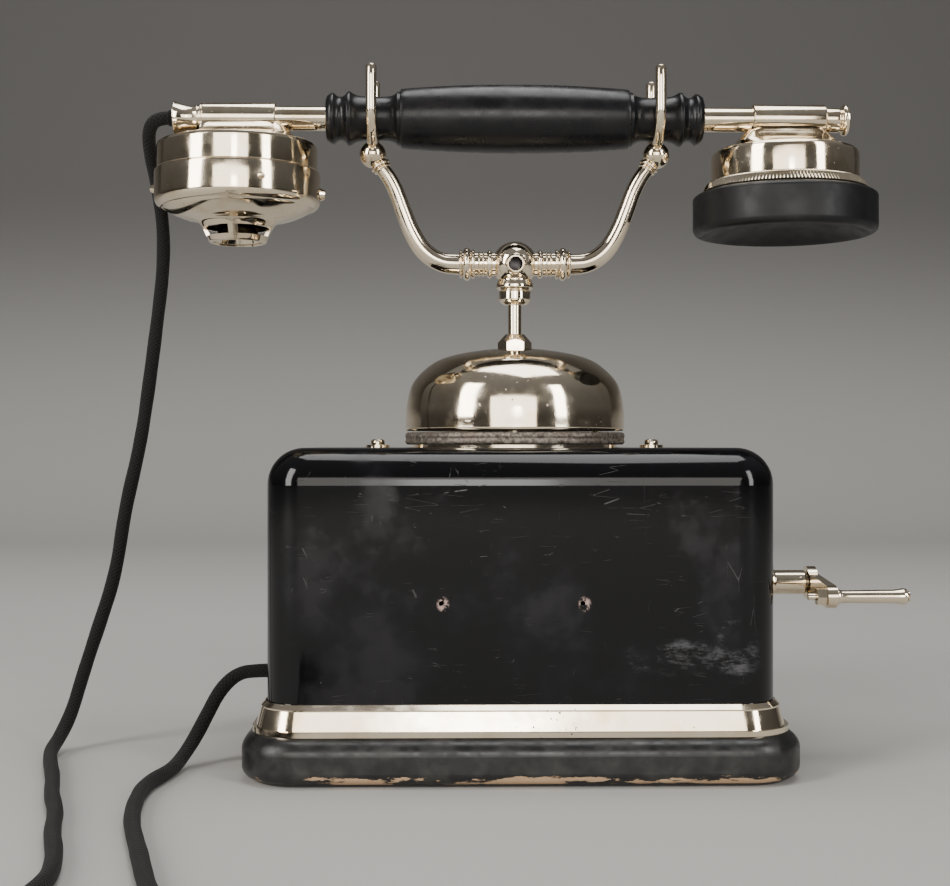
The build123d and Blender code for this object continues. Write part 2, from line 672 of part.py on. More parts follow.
with BuildPart() as tx_cover:
    with BuildSketch(upright(TX_X)):
        with BuildLine():
            Polyline((29.0, TX_JOINT_Z), (TX_COVER_R - 0.4, TX_JOINT_Z), (TX_COVER_R, TX_JOINT_Z - 0.4),
                     (TX_COVER_R, 203.0))
            ThreePointArc((TX_COVER_R, 203.0), (TX_COVER_R - 0.8, 200.8), (28.4, 199.6))
            Polyline((28.4, 199.6), (27.6, 199.9), (27.2, 199.3))
            ThreePointArc((27.2, 199.3), (22.4, 196.7), (16.4, 195.0))
            ThreePointArc((16.4, 195.0), (14.2, 194.0), (12.9, 192.2))
            Line((12.9, 192.2), (10.6, 187.4))
            ThreePointArc((10.6, 187.4), (9.9, 186.8), (9.0, 187.4))
            Line((9.0, 187.4), (11.5, 192.6))
            ThreePointArc((11.5, 192.6), (13.2, 195.0), (16.0, 196.2))
            ThreePointArc((16.0, 196.2), (22.0, 197.9), (26.6, 200.4))
            Polyline((26.6, 200.4), (28.0, 201.4), (29.0, 203.4), (29.0, TX_JOINT_Z))
        make_face()
    revolve(axis=Axis((TX_X, 0, 0), (0, 0, 1)))
    for quarter in range(4):
        turn = math.radians(90 * quarter + 7)
        with BuildSketch(Plane(origin=(TX_X, 0, 0), x_dir=(math.cos(turn), math.sin(turn), 0),
                               z_dir=(math.sin(turn), -math.cos(turn), 0))):
            with Locations((12.5, 190.7)):
                Rectangle(7, 3.4)
        revolve(axis=Axis((TX_X, 0, 0), (0, 0, 1)), revolution_arc=76, mode=Mode.SUBTRACT)
save(tx_cover, "transmitter_cover")

turned_upright("mouthpiece_funnel", [
    (8.9, 187.5), (8.9, 188.4), (6.6, 192.0), (5.2, 198.0), (4.6, 198.0), (6.0, 191.8), (8.3, 187.5),
], TX_X)
turned_upright("transmitter_capsule", [
    (0, 199.4), (24.0, 199.4), (25.0, 200.4), (25.0, 209.0), (18.0, 212.0), (0, 212.0),
], TX_X)
with BuildPart() as tx_screws:
    for azimuth, height, radius in ((0, 205.0, 2.5), (180, 207.0, 2.0), (-66, 207.0, 1.3)):
        turn = math.radians(azimuth)
        with BuildSketch(Plane(origin=(TX_X + TX_COVER_R * math.cos(turn),
                                       TX_COVER_R * math.sin(turn), height),
                               z_dir=(math.cos(turn), math.sin(turn), 0))):
            Circle(radius)
        extrude(amount=1.8, taper=25)
save(tx_screws, "transmitter_screws")

# The receiver: a cup above, a knurled ring, and an ear cap screwed on below.
turned_upright("receiver_case", [
    (0, RX_TOP_Z - SHELL_T), (24.8, RX_TOP_Z - SHELL_T), (25.9, RX_TOP_Z - 2.6), (25.9, 203.0),
    (RX_R, 203.0), (RX_R, RX_TOP_Z - 2.2), (RX_R - 0.4, RX_TOP_Z - 1.0), (RX_R - 1.2, RX_TOP_Z - 0.3),
    (RX_R - 2.2, RX_TOP_Z), (0, RX_TOP_Z),
], RX_X)
turned_upright("knurled_ring", [
    (RX_R, CAP_Z[1]), (30.3, CAP_Z[1]), (30.6, CAP_Z[1] + 0.5), (28.6, CAP_Z[1] + 3.6),
    (28.0, CAP_Z[1] + 4.0), (RX_R, CAP_Z[1] + 4.0),
], RX_X)
with BuildPart() as ear_cap:
    with BuildSketch(upright(RX_X)):
        with BuildLine():
            Polyline((RX_R, 203.0), (RX_R, CAP_Z[1]), (30.0, CAP_Z[1]), (CAP_R - 1.0, CAP_Z[1] - 1.2),
                     (CAP_R, CAP_Z[1] - 2.4), (CAP_R, CAP_Z[0] + 2.5))
            ThreePointArc((CAP_R, CAP_Z[0] + 2.5), (CAP_R - 0.75, CAP_Z[0] + 0.75),
                          (CAP_R - 2.5, CAP_Z[0]))
            ThreePointArc((CAP_R - 2.5, CAP_Z[0]), (19.0, CAP_Z[0] + 5.6), (6.0, CAP_Z[0] + 7.6))
            Polyline((6.0, CAP_Z[0] + 7.6), (5.0, CAP_Z[0] + 8.4), (5.0, 200.4), (RX_R, 200.4),
                     (RX_R, 203.0))
        make_face()
    revolve(axis=Axis((RX_X, 0, 0), (0, 0, 1)))
save(ear_cap, "ear_cap")
turned_upright("receiver_diaphragm", [(0, 201.6), (25.7, 201.6), (25.7, 202.0), (0, 202.0)], RX_X)
with BuildPart() as rx_magnet:
    with BuildSketch(Plane.XY.offset(211.0)):
        with Locations((RX_X, 0)):
            Circle(21)
            Circle(13, mode=Mode.SUBTRACT)
            Rectangle(50, 12, mode=Mode.SUBTRACT)
    extrude(amount=RX_TOP_Z - SHELL_T - 211.0)
    with BuildSketch(Plane.XY.offset(202.6)):
        with Locations((RX_X, -5), (RX_X, 5)):
            Rectangle(10, 3)
    extrude(amount=RX_TOP_Z - SHELL_T - 202.6)
save(rx_magnet, "receiver_magnet")
with BuildPart() as rx_bobbins:
    with BuildSketch(Plane.XY.offset(204.0)):
        with Locations((RX_X, -5), (RX_X, 5)):
            Rectangle(15, 8)
            Rectangle(10, 3, mode=Mode.SUBTRACT)
    extrude(amount=9)
save(rx_bobbins, "receiver_bobbins")

# ================================================================ magneto
with BuildPart() as magnets:
    for step in range(3):
        with BuildSketch(Plane.YZ.offset(MAGNETO_X[0] + step * MAGNET_PITCH)):
            with Locations((0, 54)):
                Circle(22)
                Circle(14, mode=Mode.SUBTRACT)
            with Locations((0, 36)):
                Rectangle(44, 36)
                Rectangle(28, 36, mode=Mode.SUBTRACT)
            with Locations((0, 47)):
                Rectangle(28, 14, mode=Mode.SUBTRACT)
        extrude(amount=MAGNET_T)
save(magnets, "magneto_magnets")

with BuildPart() as pole_pieces:
    with BuildSketch(Plane.YZ.offset(MAGNETO_X[0])):
        with Locations((0, 34)):
            Rectangle(28, 32)
            Rectangle(8, 32, mode=Mode.SUBTRACT)
        with Locations((0, ARMATURE_Z)):
            Circle(ARMATURE_R + 0.5, mode=Mode.SUBTRACT)
    extrude(amount=MAGNETO_X[1] - MAGNETO_X[0])
save(pole_pieces, "magneto_pole_pieces")

END_PLATE_X = (MAGNETO_X[0] - 4.5, MAGNETO_X[1] + 2.0)
END_PLATE_T = 2.5
with BuildPart() as end_plates:
    for x in END_PLATE_X:
        with BuildSketch(Plane.YZ.offset(x)):
            with Locations((0, 46)):
                Rectangle(46, 56)
            with Locations((0, CRANK_Z)):
                Circle(SHAFT_R + RUNNING_GAP, mode=Mode.SUBTRACT)
            with Locations((0, ARMATURE_Z)):
                Circle(ARMATURE_SHAFT_R + RUNNING_GAP, mode=Mode.SUBTRACT)
        extrude(amount=END_PLATE_T)
save(end_plates, "magneto_end_plates")

with BuildPart() as rotor:
    with BuildSketch(Plane.YZ.offset(MAGNETO_X[0] + 1)):
        with Locations((0, ARMATURE_Z)):
            Circle(ARMATURE_R)
        with Locations((-8.5, ARMATURE_Z), (8.5, ARMATURE_Z)):
            Rectangle(9, 10, mode=Mode.SUBTRACT)
    extrude(amount=MAGNETO_X[1] - MAGNETO_X[0] - 2)
    with BuildSketch(Plane.YZ.offset(-50)):
        with Locations((0, ARMATURE_Z)):
            Circle(ARMATURE_SHAFT_R)
    extrude(amount=END_PLATE_X[1] + 6 + 50)
save(rotor, "armature_rotor")

with BuildPart() as winding:
    with BuildSketch(Plane.YZ.offset(MAGNETO_X[0] + 3)):
        with Locations((-7, ARMATURE_Z), (7, ARMATURE_Z)):
            Rectangle(6, 9.6)
    extrude(amount=MAGNETO_X[1] - MAGNETO_X[0] - 6)
save(winding, "armature_winding")


def gear_outline(teeth, phase):
    """Corner points of straight-flanked teeth; the first tooth is centred on the phase angle."""
    pitch_r = GEAR_MODULE * teeth / 2
    tip_r = pitch_r + 0.8 * GEAR_MODULE
    root_r = pitch_r - 1.15 * GEAR_MODULE
    step = 360 / teeth
    corners = []
    for tooth in range(teeth):
        centre = phase + tooth * step
        for r, part in ((root_r, -0.33), (tip_r, -0.11), (tip_r, 0.11), (root_r, 0.33)):
            angle = math.radians(centre + part * step)
            corners.append((r * math.cos(angle), r * math.sin(angle)))
    return corners


GEAR_X = -46.0
with BuildPart() as main_gear:
    with BuildSketch(Plane.YZ.offset(GEAR_X)):
        with Locations((0, CRANK_Z)):
            Polygon(*gear_outline(GEAR_TEETH, 90), align=None)
            Circle(SHAFT_R, mode=Mode.SUBTRACT)
            with PolarLocations(12.5, 5, 18):
                Circle(4, mode=Mode.SUBTRACT)
    extrude(amount=4)
save(main_gear, "main_gear")

with BuildPart() as pinion:
    with BuildSketch(Plane.YZ.offset(GEAR_X - 1)):
        with Locations((0, ARMATURE_Z)):
            Polygon(*gear_outline(PINION_TEETH, 15), align=None)
            Circle(ARMATURE_SHAFT_R, mode=Mode.SUBTRACT)
    extrude(amount=6)
save(pinion, "armature_pinion")

# ================================================================ crank
turned_along("crank_shaft", [
    (-49.0, 0), (-49.0, SHAFT_R), (ARM_X[1], SHAFT_R), (ARM_X[1], 4.4), (ARM_X[1] + 0.8, 4.0),
    (ARM_X[1] + 1.6, 2.4), (ARM_X[1] + 1.9, 0),
], CRANK_Z)
turned_along("crank_bush", [
    (CASE[0] / 2 - 6, SHAFT_R + RUNNING_GAP), (CASE[0] / 2 - 6, 8.0), (CASE[0] / 2 - CASE_WALL, 8.0),
    (CASE[0] / 2 - CASE_WALL, 4.5), (CASE[0] / 2, 4.5), (CASE[0] / 2, 9.5), (CASE[0] / 2 + 0.8, 9.5),
    (CASE[0] / 2 + 2.0, 7.5), (CASE[0] / 2 + 2.2, 4.5), (94.4, 4.5), (94.8, 5.2), (96.2, 5.2), (96.6, 4.5),
    (BUSH_END_X - 0.5, 4.5), (BUSH_END_X, 4.0), (BUSH_END_X, SHAFT_R + RUNNING_GAP),
], CRANK_Z)

ARM_LENGTH = math.hypot(CRANK_PIN_Y, CRANK_PIN_Z - CRANK_Z)
ARM_TILT = math.degrees(math.atan2(CRANK_Z - CRANK_PIN_Z, -CRANK_PIN_Y))
with BuildPart() as crank_arm:
    with BuildSketch(Plane.YZ.offset(ARM_X[0])):
        with Locations((CRANK_PIN_Y / 2, (CRANK_PIN_Z + CRANK_Z) / 2)):
            SlotCenterToCenter(ARM_LENGTH, 8, rotation=ARM_TILT)
        with Locations((0, CRANK_Z)):
            Circle(6)
            Circle(SHAFT_R, mode=Mode.SUBTRACT)
        with Locations((CRANK_PIN_Y, CRANK_PIN_Z)):
            Circle(PIN_R, mode=Mode.SUBTRACT)
    extrude(amount=ARM_X[1] - ARM_X[0])
save(crank_arm, "crank_arm")

with BuildPart() as spindle:
    with BuildSketch(Plane.YZ.offset(102.4)):
        with Locations((CRANK_PIN_Y, CRANK_PIN_Z)):
            Circle(PIN_R)
    extrude(amount=GRIP_X[1] + 0.3 - 102.4)
    with BuildSketch(Plane.YZ.offset(GRIP_X[1] + 0.3)):
        with Locations((CRANK_PIN_Y, CRANK_PIN_Z)):
            Circle(2.0)
    extrude(amount=0.5)
    with BuildSketch(Plane.YZ.offset(105.3)):
        with Locations((CRANK_PIN_Y, CRANK_PIN_Z)):
            RegularPolygon(3.2, 6)
    extrude(amount=ARM_X[0] - 105.3)
save(spindle, "crank_spindle")
turned_along("crank_grip", [
    (GRIP_X[0], PIN_R + RUNNING_GAP), (GRIP_X[0], 2.7), (113.4, 2.7), (113.8, 2.35), (133.6, 2.35),
    (134.6, 2.8), (136.6, 2.95), (GRIP_X[1], 2.6), (GRIP_X[1], PIN_R + RUNNING_GAP),
], CRANK_PIN_Z, CRANK_PIN_Y)

# ================================================================ cord
def corner_radii(points):
    """For each corner, 0.45 of the shorter run over the tangent of half the turn."""
    radii = []
    for before, corner, after in zip(points, points[1:], points[2:]):
        run_in = Vector(*corner) - Vector(*before)
        run_out = Vector(*after) - Vector(*corner)
        half_turn = math.radians(run_in.get_angle(run_out)) / 2
        radii.append(0.45 * min(run_in.length, run_out.length) / math.tan(half_turn))
    return radii


for name, points in (("cord_handset_run", HANDSET_RUN), ("cord_case_run", CASE_RUN)):
    with BuildPart() as run:
        with BuildLine():
            path = FilletPolyline(*points, radius=corner_radii(points))
        with BuildSketch(Plane(origin=path @ 0, z_dir=path % 0)):
            Circle(CORD_R)
        sweep()
    save(run, name)
    print(name, "length", round(path.length, 1), "volume ratio",
          round(run.part.volume / (math.pi * CORD_R**2 * path.length), 4))
    print("  radii", [round(r, 1) for r in corner_radii(points)])

with BuildPart() as coil:
    with BuildSketch():
        with Locations(COIL_CENTRE):
            Circle(COIL_R + CORD_R)
            Circle(COIL_R - CORD_R, mode=Mode.SUBTRACT)
    extrude(amount=COIL_H)
    fillet(coil.edges().filter_by(GeomType.CIRCLE), 1.5)
save(coil, "cord_coil")
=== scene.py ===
"""Looks of the hand-crank magneto table telephone: nickel, enamel, ebonite, painted wood and braided cord.

Pieces are drawn in millimetres, in the frame of the CAD, and scaled to metres as they are finished. A turned
piece is a profile of (radius, height) points swept round an axis.
"""
import bmesh
import bpy
import json
import math
from mathutils import Matrix, Vector


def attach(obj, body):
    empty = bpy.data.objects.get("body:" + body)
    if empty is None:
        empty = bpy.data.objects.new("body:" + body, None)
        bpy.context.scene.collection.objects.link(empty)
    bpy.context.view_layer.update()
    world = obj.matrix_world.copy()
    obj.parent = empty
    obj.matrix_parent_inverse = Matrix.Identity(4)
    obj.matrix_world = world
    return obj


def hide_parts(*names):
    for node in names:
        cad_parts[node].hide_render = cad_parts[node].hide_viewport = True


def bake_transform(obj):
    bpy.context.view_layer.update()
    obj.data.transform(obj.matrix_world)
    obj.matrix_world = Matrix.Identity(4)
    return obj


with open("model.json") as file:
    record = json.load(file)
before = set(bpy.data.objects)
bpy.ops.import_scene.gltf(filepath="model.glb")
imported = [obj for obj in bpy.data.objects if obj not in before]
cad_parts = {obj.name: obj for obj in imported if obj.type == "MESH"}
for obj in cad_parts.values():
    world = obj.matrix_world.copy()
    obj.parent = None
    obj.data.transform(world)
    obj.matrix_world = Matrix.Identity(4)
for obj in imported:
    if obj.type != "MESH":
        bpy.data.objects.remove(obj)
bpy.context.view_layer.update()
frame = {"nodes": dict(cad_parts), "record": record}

MM = 0.001
BELL_RIM_Z = 117.0
BELL_WALL = 1.6
BALL_Z = 179.2
BALL_R = 8.5
FORK_X = 52.8
FORK_BALL_Z = 219.9
PRONG_Y = 13.0
PRONG_R = 2.0
PRONG_BEND_Z = 235.8
GRIP_Z = 233.3
SLEEVE_END = 115.9
TX_X = -103.0
TX_TOP_Z = 223.3
RX_X = 101.0
RX_TOP_Z = 221.3
CRANK_Z = 60.6
CRANK_PIN = (-30.0, 58.3)


# ---------------------------------------------------------------- camera, light and stage
def make_camera():
    """A level camera in front of the set, at half its height and a hair to the left."""
    data = bpy.data.cameras.new("camera")
    data.sensor_width = 36.0
    data.lens = 54.95
    data.clip_start = 0.01
    camera = bpy.data.objects.new("camera", data)
    camera.location = (-0.0233, -0.5405, 0.1126)
    camera.rotation_euler = (math.radians(90), 0, math.radians(-0.9))
    bpy.context.scene.collection.objects.link(camera)
    bpy.context.scene.camera = camera


def area_light(name, location, target, size, power, colour=(1.0, 1.0, 1.0)):
    """A rectangular softbox that faces a target point."""
    data = bpy.data.lights.new(name, "AREA")
    data.shape = "RECTANGLE"
    data.size, data.size_y = size
    data.energy = power
    data.color = colour
    light = bpy.data.objects.new(name, data)
    light.location = location
    aim = Vector(target) - Vector(location)
    light.rotation_euler = aim.to_track_quat("-Z", "Y").to_euler()
    bpy.context.scene.collection.objects.link(light)


def make_lights():
    """A broad soft wall of light in front with tall windows at its sides, and one softbox overhead."""
    area_light("window_left", (-1.5, -1.1, 0.9), (0, 0, 0.12), (0.6, 1.5), 34, (1.0, 0.98, 0.95))
    area_light("window_right", (1.35, -1.3, 0.8), (0, 0, 0.12), (0.4, 1.3), 18, (1.0, 0.99, 0.97))
    area_light("front_wall", (-0.15, -2.3, 0.55), (0, 0, 0.16), (2.0, 0.95), 24, (1.0, 0.95, 0.88))
    area_light("front_window", (0.02, -2.2, 0.5), (0, 0, 0.16), (0.28, 0.5), 4, (0.96, 0.98, 1.0))
    area_light("overhead", (0.1, 0.1, 1.7), (0, 0, 0.1), (1.2, 0.9), 18)


def make_world():
    """A dim studio: grey below and behind, paler overhead."""
    world = bpy.data.worlds.new("studio")
    world.use_nodes = True
    nodes, links = world.node_tree.nodes, world.node_tree.links
    background = nodes["Background"]
    coordinates = nodes.new("ShaderNodeTexCoord")
    split = nodes.new("ShaderNodeSeparateXYZ")
    ramp = nodes.new("ShaderNodeValToRGB")
    links.new(coordinates.outputs["Generated"], split.inputs[0])
    links.new(split.outputs["Z"], ramp.inputs["Fac"])
    ramp.color_ramp.elements[0].position = 0.0
    ramp.color_ramp.elements[0].color = (0.10, 0.095, 0.09, 1)
    ramp.color_ramp.elements[1].position = 0.9
    ramp.color_ramp.elements[1].color = (0.55, 0.55, 0.56, 1)
    links.new(ramp.outputs["Color"], background.inputs["Color"])
    background.inputs["Strength"].default_value = 0.4
    bpy.context.scene.world = world


def make_stage():
    """A pale floor that curves up into a pale backdrop."""
    bend_start, bend_radius, height, half_width, front = 1.1, 0.8, 3.0, 3.2, -2.2
    outline = [(front, 0.0), (bend_start, 0.0)]
    for step in range(1, 17):
        angle = math.radians(90 * step / 16)
        outline.append((bend_start + bend_radius * math.sin(angle), bend_radius * (1 - math.cos(angle))))
    outline.append((bend_start + bend_radius, height))
    mesh = bpy.data.meshes.new("stage")
    points = [(x, y, z) for y, z in outline for x in (-half_width, half_width)]
    faces = [(2 * i, 2 * i + 1, 2 * i + 3, 2 * i + 2) for i in range(len(outline) - 1)]
    mesh.from_pydata(points, [], faces)
    mesh.shade_smooth()
    stage = bpy.data.objects.new("stage", mesh)
    bpy.context.scene.collection.objects.link(stage)
    look = Look("stage_paper")
    wall = look.ramp(look.height(), 0.03, 0.55)
    look.link(look.mix(wall, (0.42, 0.41, 0.39), (0.13, 0.125, 0.12)), "Base Color")
    look.set("Roughness", 0.9)
    mesh.materials.append(look.material)


# ---------------------------------------------------------------- materials
class Look:
    """A node material that is built up call by call. Texture sizes are in millimetres of the object."""

    def __init__(self, name):
        self.material = bpy.data.materials.new(name)
        self.material.use_nodes = True
        self.tree = self.material.node_tree
        self.shader = self.tree.nodes["Principled BSDF"]
        coordinates = self.tree.nodes.new("ShaderNodeTexCoord")
        self.place = coordinates.outputs["Object"]
        self.uv = coordinates.outputs["UV"]
        self.last_bump = None

    def set(self, socket, value):
        self.shader.inputs[socket].default_value = value

    def link(self, value, socket):
        self.tree.links.new(value, self.shader.inputs[socket])

    def node(self, kind, **inputs):
        made = self.tree.nodes.new(kind)
        for key, value in inputs.items():
            slot = made.inputs[key.replace("_", " ")]
            if isinstance(value, bpy.types.NodeSocket):
                self.tree.links.new(value, slot)
            else:
                slot.default_value = value
        return made

    def turned(self, angles=(0, 0, 0), stretch=(1, 1, 1), source=None):
        """Object coordinates, turned in degrees and stretched."""
        mapping = self.node("ShaderNodeMapping", Vector=source or self.place,
                            Rotation=[math.radians(a) for a in angles], Scale=stretch)
        return mapping.outputs["Vector"]

    def noise(self, size_mm, detail=4.0, roughness=0.55, vector=None, distortion=0.0):
        made = self.node("ShaderNodeTexNoise", Vector=vector or self.place, Scale=1000.0 / size_mm,
                         Detail=detail, Roughness=roughness, Distortion=distortion)
        return made.outputs["Fac"]

    def cracks(self, size_mm, vector=None):
        """Distance to the edges of random cells: thin lines once it is cut off close to zero."""
        made = self.tree.nodes.new("ShaderNodeTexVoronoi")
        made.feature = "DISTANCE_TO_EDGE"
        made.inputs["Scale"].default_value = 1000.0 / size_mm
        self.tree.links.new(vector or self.place, made.inputs["Vector"])
        return made.outputs["Distance"]

    def ramp(self, value, low, high, start=0.0, end=1.0):
        """A smooth step of a value between two limits."""
        made = self.node("ShaderNodeMapRange", Value=value, From_Min=low, From_Max=high, To_Min=start,
                         To_Max=end)
        made.interpolation_type = "SMOOTHSTEP"
        return made.outputs["Result"]

    def math(self, operation, a, b, clamp=True):
        made = self.tree.nodes.new("ShaderNodeMath")
        made.operation = operation
        made.use_clamp = clamp and operation == "ADD"
        for slot, value in zip(made.inputs, (a, b)):
            if isinstance(value, bpy.types.NodeSocket):
                self.tree.links.new(value, slot)
            else:
                slot.default_value = value
        return made.outputs[0]

    def mix(self, factor, a, b):
        """A blend of two colours."""
        made = self.tree.nodes.new("ShaderNodeMix")
        made.data_type = "RGBA"
        for slot, value in zip((made.inputs[0], made.inputs[6], made.inputs[7]), (factor, a, b)):
            if isinstance(value, bpy.types.NodeSocket):
                self.tree.links.new(value, slot)
            elif slot is made.inputs[0]:
                slot.default_value = value
            else:
                slot.default_value = (*value, 1.0)
        return made.outputs[2]

    def near(self, centre_mm, radii_mm, soft=0.35):
        """1 inside an ellipsoid, falling to 0 at its edge."""
        mapping = self.tree.nodes.new("ShaderNodeMapping")
        mapping.vector_type = "TEXTURE"
        self.tree.links.new(self.place, mapping.inputs["Vector"])
        mapping.inputs["Location"].default_value = [c * MM for c in centre_mm]
        mapping.inputs["Scale"].default_value = [r * MM for r in radii_mm]
        length = self.tree.nodes.new("ShaderNodeVectorMath")
        length.operation = "LENGTH"
        self.tree.links.new(mapping.outputs["Vector"], length.inputs[0])
        return self.ramp(length.outputs["Value"], 1 - soft, 1, 1, 0)

    def height(self):
        split = self.node("ShaderNodeSeparateXYZ", Vector=self.place)
        return split.outputs["Z"]

    def bump(self, value, depth_mm, strength=1.0):
        made = self.node("ShaderNodeBump", Height=value, Strength=strength, Distance=depth_mm * MM)
        if self.last_bump:
            self.tree.links.new(self.last_bump, made.inputs["Normal"])
        self.last_bump = made.outputs["Normal"]
        self.link(self.last_bump, "Normal")


def nickel_look(tint, rough):
    """Old nickel plate: a warm mirror, faintly wavy, with tarnish clouds and small dark spots."""
    look = Look("nickel")
    look.set("Metallic", 1.0)
    clouds = look.ramp(look.noise(16, detail=6), 0.46, 0.75)
    pits = look.ramp(look.noise(1.1, detail=2, roughness=0.4), 0.69, 0.74)
    groups = look.ramp(look.noise(22, detail=3), 0.5, 0.64)
    spotted = look.math("MULTIPLY", pits, groups)
    hairs = look.ramp(look.cracks(9, look.turned((17, 31, 9), (1, 5, 1))), 0.0, 0.012, 1, 0)
    hairs = look.math("MULTIPLY", hairs, look.ramp(look.noise(9), 0.5, 0.6))
    base = look.mix(clouds, tint, (tint[0] * 0.86, tint[1] * 0.80, tint[2] * 0.70))
    base = look.mix(look.math("MULTIPLY", hairs, 0.25), base, (0.50, 0.42, 0.33))
    base = look.mix(spotted, base, (0.10, 0.075, 0.055))
    look.link(base, "Base Color")
    gloss = look.ramp(look.noise(7, detail=8), 0.35, 0.8, rough, rough + 0.12)
    gloss = look.math("ADD", gloss, look.math("MULTIPLY", spotted, 0.4))
    look.link(gloss, "Roughness")
    look.bump(look.noise(14, detail=1), 0.04, 0.6)
    look.bump(spotted, -0.03)
    return look.material


def enamel_look():
    """Gloss black stove enamel: scratches, smudges, worn spots at the front holes and a scuffed patch."""
    look = Look("case_enamel")
    patch = look.math("ADD", look.near((52, -61, 42), (26, 14, 9), 0.9),
                      look.near((70, -61, 45), (15, 14, 17), 0.9))
    ragged = look.math("MULTIPLY", patch, look.ramp(look.noise(14, detail=5), 0.36, 0.62))
    slanted = look.turned((0, 28, 0), (1, 1, 3.2))
    streaks = look.noise(9, detail=12, roughness=0.78, vector=slanted)
    scuffs = look.math("MULTIPLY", look.ramp(streaks, 0.44, 0.66), look.ramp(ragged, 0.05, 0.75))
    marks = None
    for angles, stretch, size in (((0, 38, 0), (1, 1, 9), 30), ((0, -24, 5), (1, 1, 11), 38),
                                  ((0, 74, 0), (1, 1, 8), 26), ((0, 8, 0), (8, 1, 1), 46)):
        line = look.ramp(look.cracks(size, look.turned(angles, stretch)), 0.0, 0.010, 1, 0)
        parts = look.ramp(look.noise(11, vector=look.turned(angles)), 0.62, 0.72)
        line = look.math("MULTIPLY", line, parts)
        marks = line if marks is None else look.math("MAXIMUM", marks, line)
    dabs = look.ramp(look.noise(3.2, detail=3, vector=look.turned((40, 10, 0))), 0.76, 0.79)
    dabs = look.math("MULTIPLY", dabs, look.ramp(look.noise(24, detail=2), 0.5, 0.6))
    worn = None
    for x in (-27, 20):
        ring = look.near((x + 0.6, -61, 59.3), (2.4, 3, 2.9), 0.5)
        ring = look.math("MULTIPLY", ring, look.ramp(look.noise(2.0, detail=6), 0.46, 0.56))
        worn = ring if worn is None else look.math("MAXIMUM", worn, ring)
    smudge = look.ramp(look.noise(38, detail=7, roughness=0.62), 0.47, 0.72)
    base = look.mix(look.math("MULTIPLY", smudge, 0.5), (0.0025, 0.0025, 0.003), (0.010, 0.009, 0.012))
    base = look.mix(look.math("MULTIPLY", marks, 0.22), base, (0.18, 0.17, 0.17))
    base = look.mix(look.math("MULTIPLY", dabs, 0.6), base, (0.30, 0.27, 0.26))
    base = look.mix(look.math("MULTIPLY", scuffs, 0.5), base, (0.13, 0.13, 0.14))
    base = look.mix(look.math("MULTIPLY", worn, 0.9), base, (0.42, 0.30, 0.26))
    look.link(base, "Base Color")
    dull = look.math("MAXIMUM", look.math("MAXIMUM", marks, scuffs), look.math("MAXIMUM", dabs, worn))
    rough = look.math("ADD", look.ramp(smudge, 0, 1, 0.09, 0.26), look.math("MULTIPLY", dull, 0.45))
    look.link(rough, "Roughness")
    look.set("Specular IOR Level", 0.32)
    look.bump(look.noise(42, detail=2), 0.10, 0.5)
    look.bump(dull, -0.03)
    return look.material


def plinth_look():
    """Satin black paint on wood, chipped to tan wood along the lower edge."""
    look = Look("plinth_paint")
    height = look.height()
    edge = look.ramp(height, 3.0 * MM, 6.5 * MM, 1, 0)
    long_chips = look.noise(11, detail=7, roughness=0.68, vector=look.turned((0, 0, 0), (0.55, 0.55, 2.0)))
    chips = look.math("ADD", look.math("MULTIPLY", long_chips, 0.75), look.math("MULTIPLY", edge, 0.24))
    chips = look.ramp(chips, 0.60, 0.625)
    nicks = look.ramp(look.noise(5, detail=5, roughness=0.7), 0.725, 0.75)
    chips = look.math("MAXIMUM", chips, nicks)
    grain = look.noise(2.6, detail=6, vector=look.turned((0, 0, 0), (0.08, 1, 1)))
    wood = look.mix(grain, (0.30, 0.17, 0.09), (0.62, 0.45, 0.28))
    worn_paint = look.ramp(look.noise(9, detail=8), 0.4, 0.75)
    paint = look.mix(worn_paint, (0.008, 0.008, 0.008), (0.030, 0.029, 0.027))
    look.link(look.mix(chips, paint, wood), "Base Color")
    rough = look.math("ADD", look.ramp(look.noise(4, detail=6), 0.3, 0.8, 0.28, 0.52),
                      look.math("MULTIPLY", chips, 0.35))
    look.link(rough, "Roughness")
    look.bump(look.noise(3.5, detail=5), 0.05, 0.5)
    look.bump(chips, -0.35)
    return look.material


def ebonite_look(name, colour, rough, grey):
    """Black hard rubber, turned and handled, a little grey where it is worn."""
    look = Look(name)
    haze = look.ramp(look.noise(20, detail=8, roughness=0.6), 0.42, 0.8)
    turning = look.noise(0.9, detail=3, vector=look.turned((0, 0, 0), (1, 0.02, 0.02)))
    look.link(look.mix(haze, colour, grey), "Base Color")
    look.link(look.ramp(look.noise(6, detail=7), 0.3, 0.8, rough, rough + 0.16), "Roughness")
    specks = look.ramp(look.noise(0.8, detail=2), 0.70, 0.76)
    look.set("Specular IOR Level", 0.3)
    look.bump(turning, 0.012, 0.5)
    look.bump(specks, -0.02, 0.7)
    return look.material


def ring_look():
    """The rough grey-brown ring that the bell stands on."""
    look = Look("bell_ring_metal")
    speckle = look.noise(1.4, detail=6, roughness=0.75)
    patches = look.noise(8, detail=3)
    base = look.mix(look.ramp(speckle, 0.38, 0.66), (0.07, 0.055, 0.045), (0.36, 0.32, 0.27))
    base = look.mix(look.ramp(patches, 0.5, 0.7, 0, 0.6), base, (0.16, 0.12, 0.095))
    look.link(base, "Base Color")
    look.set("Metallic", 0.6)
    look.set("Roughness", 0.5)
    look.bump(speckle, 0.25, 0.8)
    return look.material


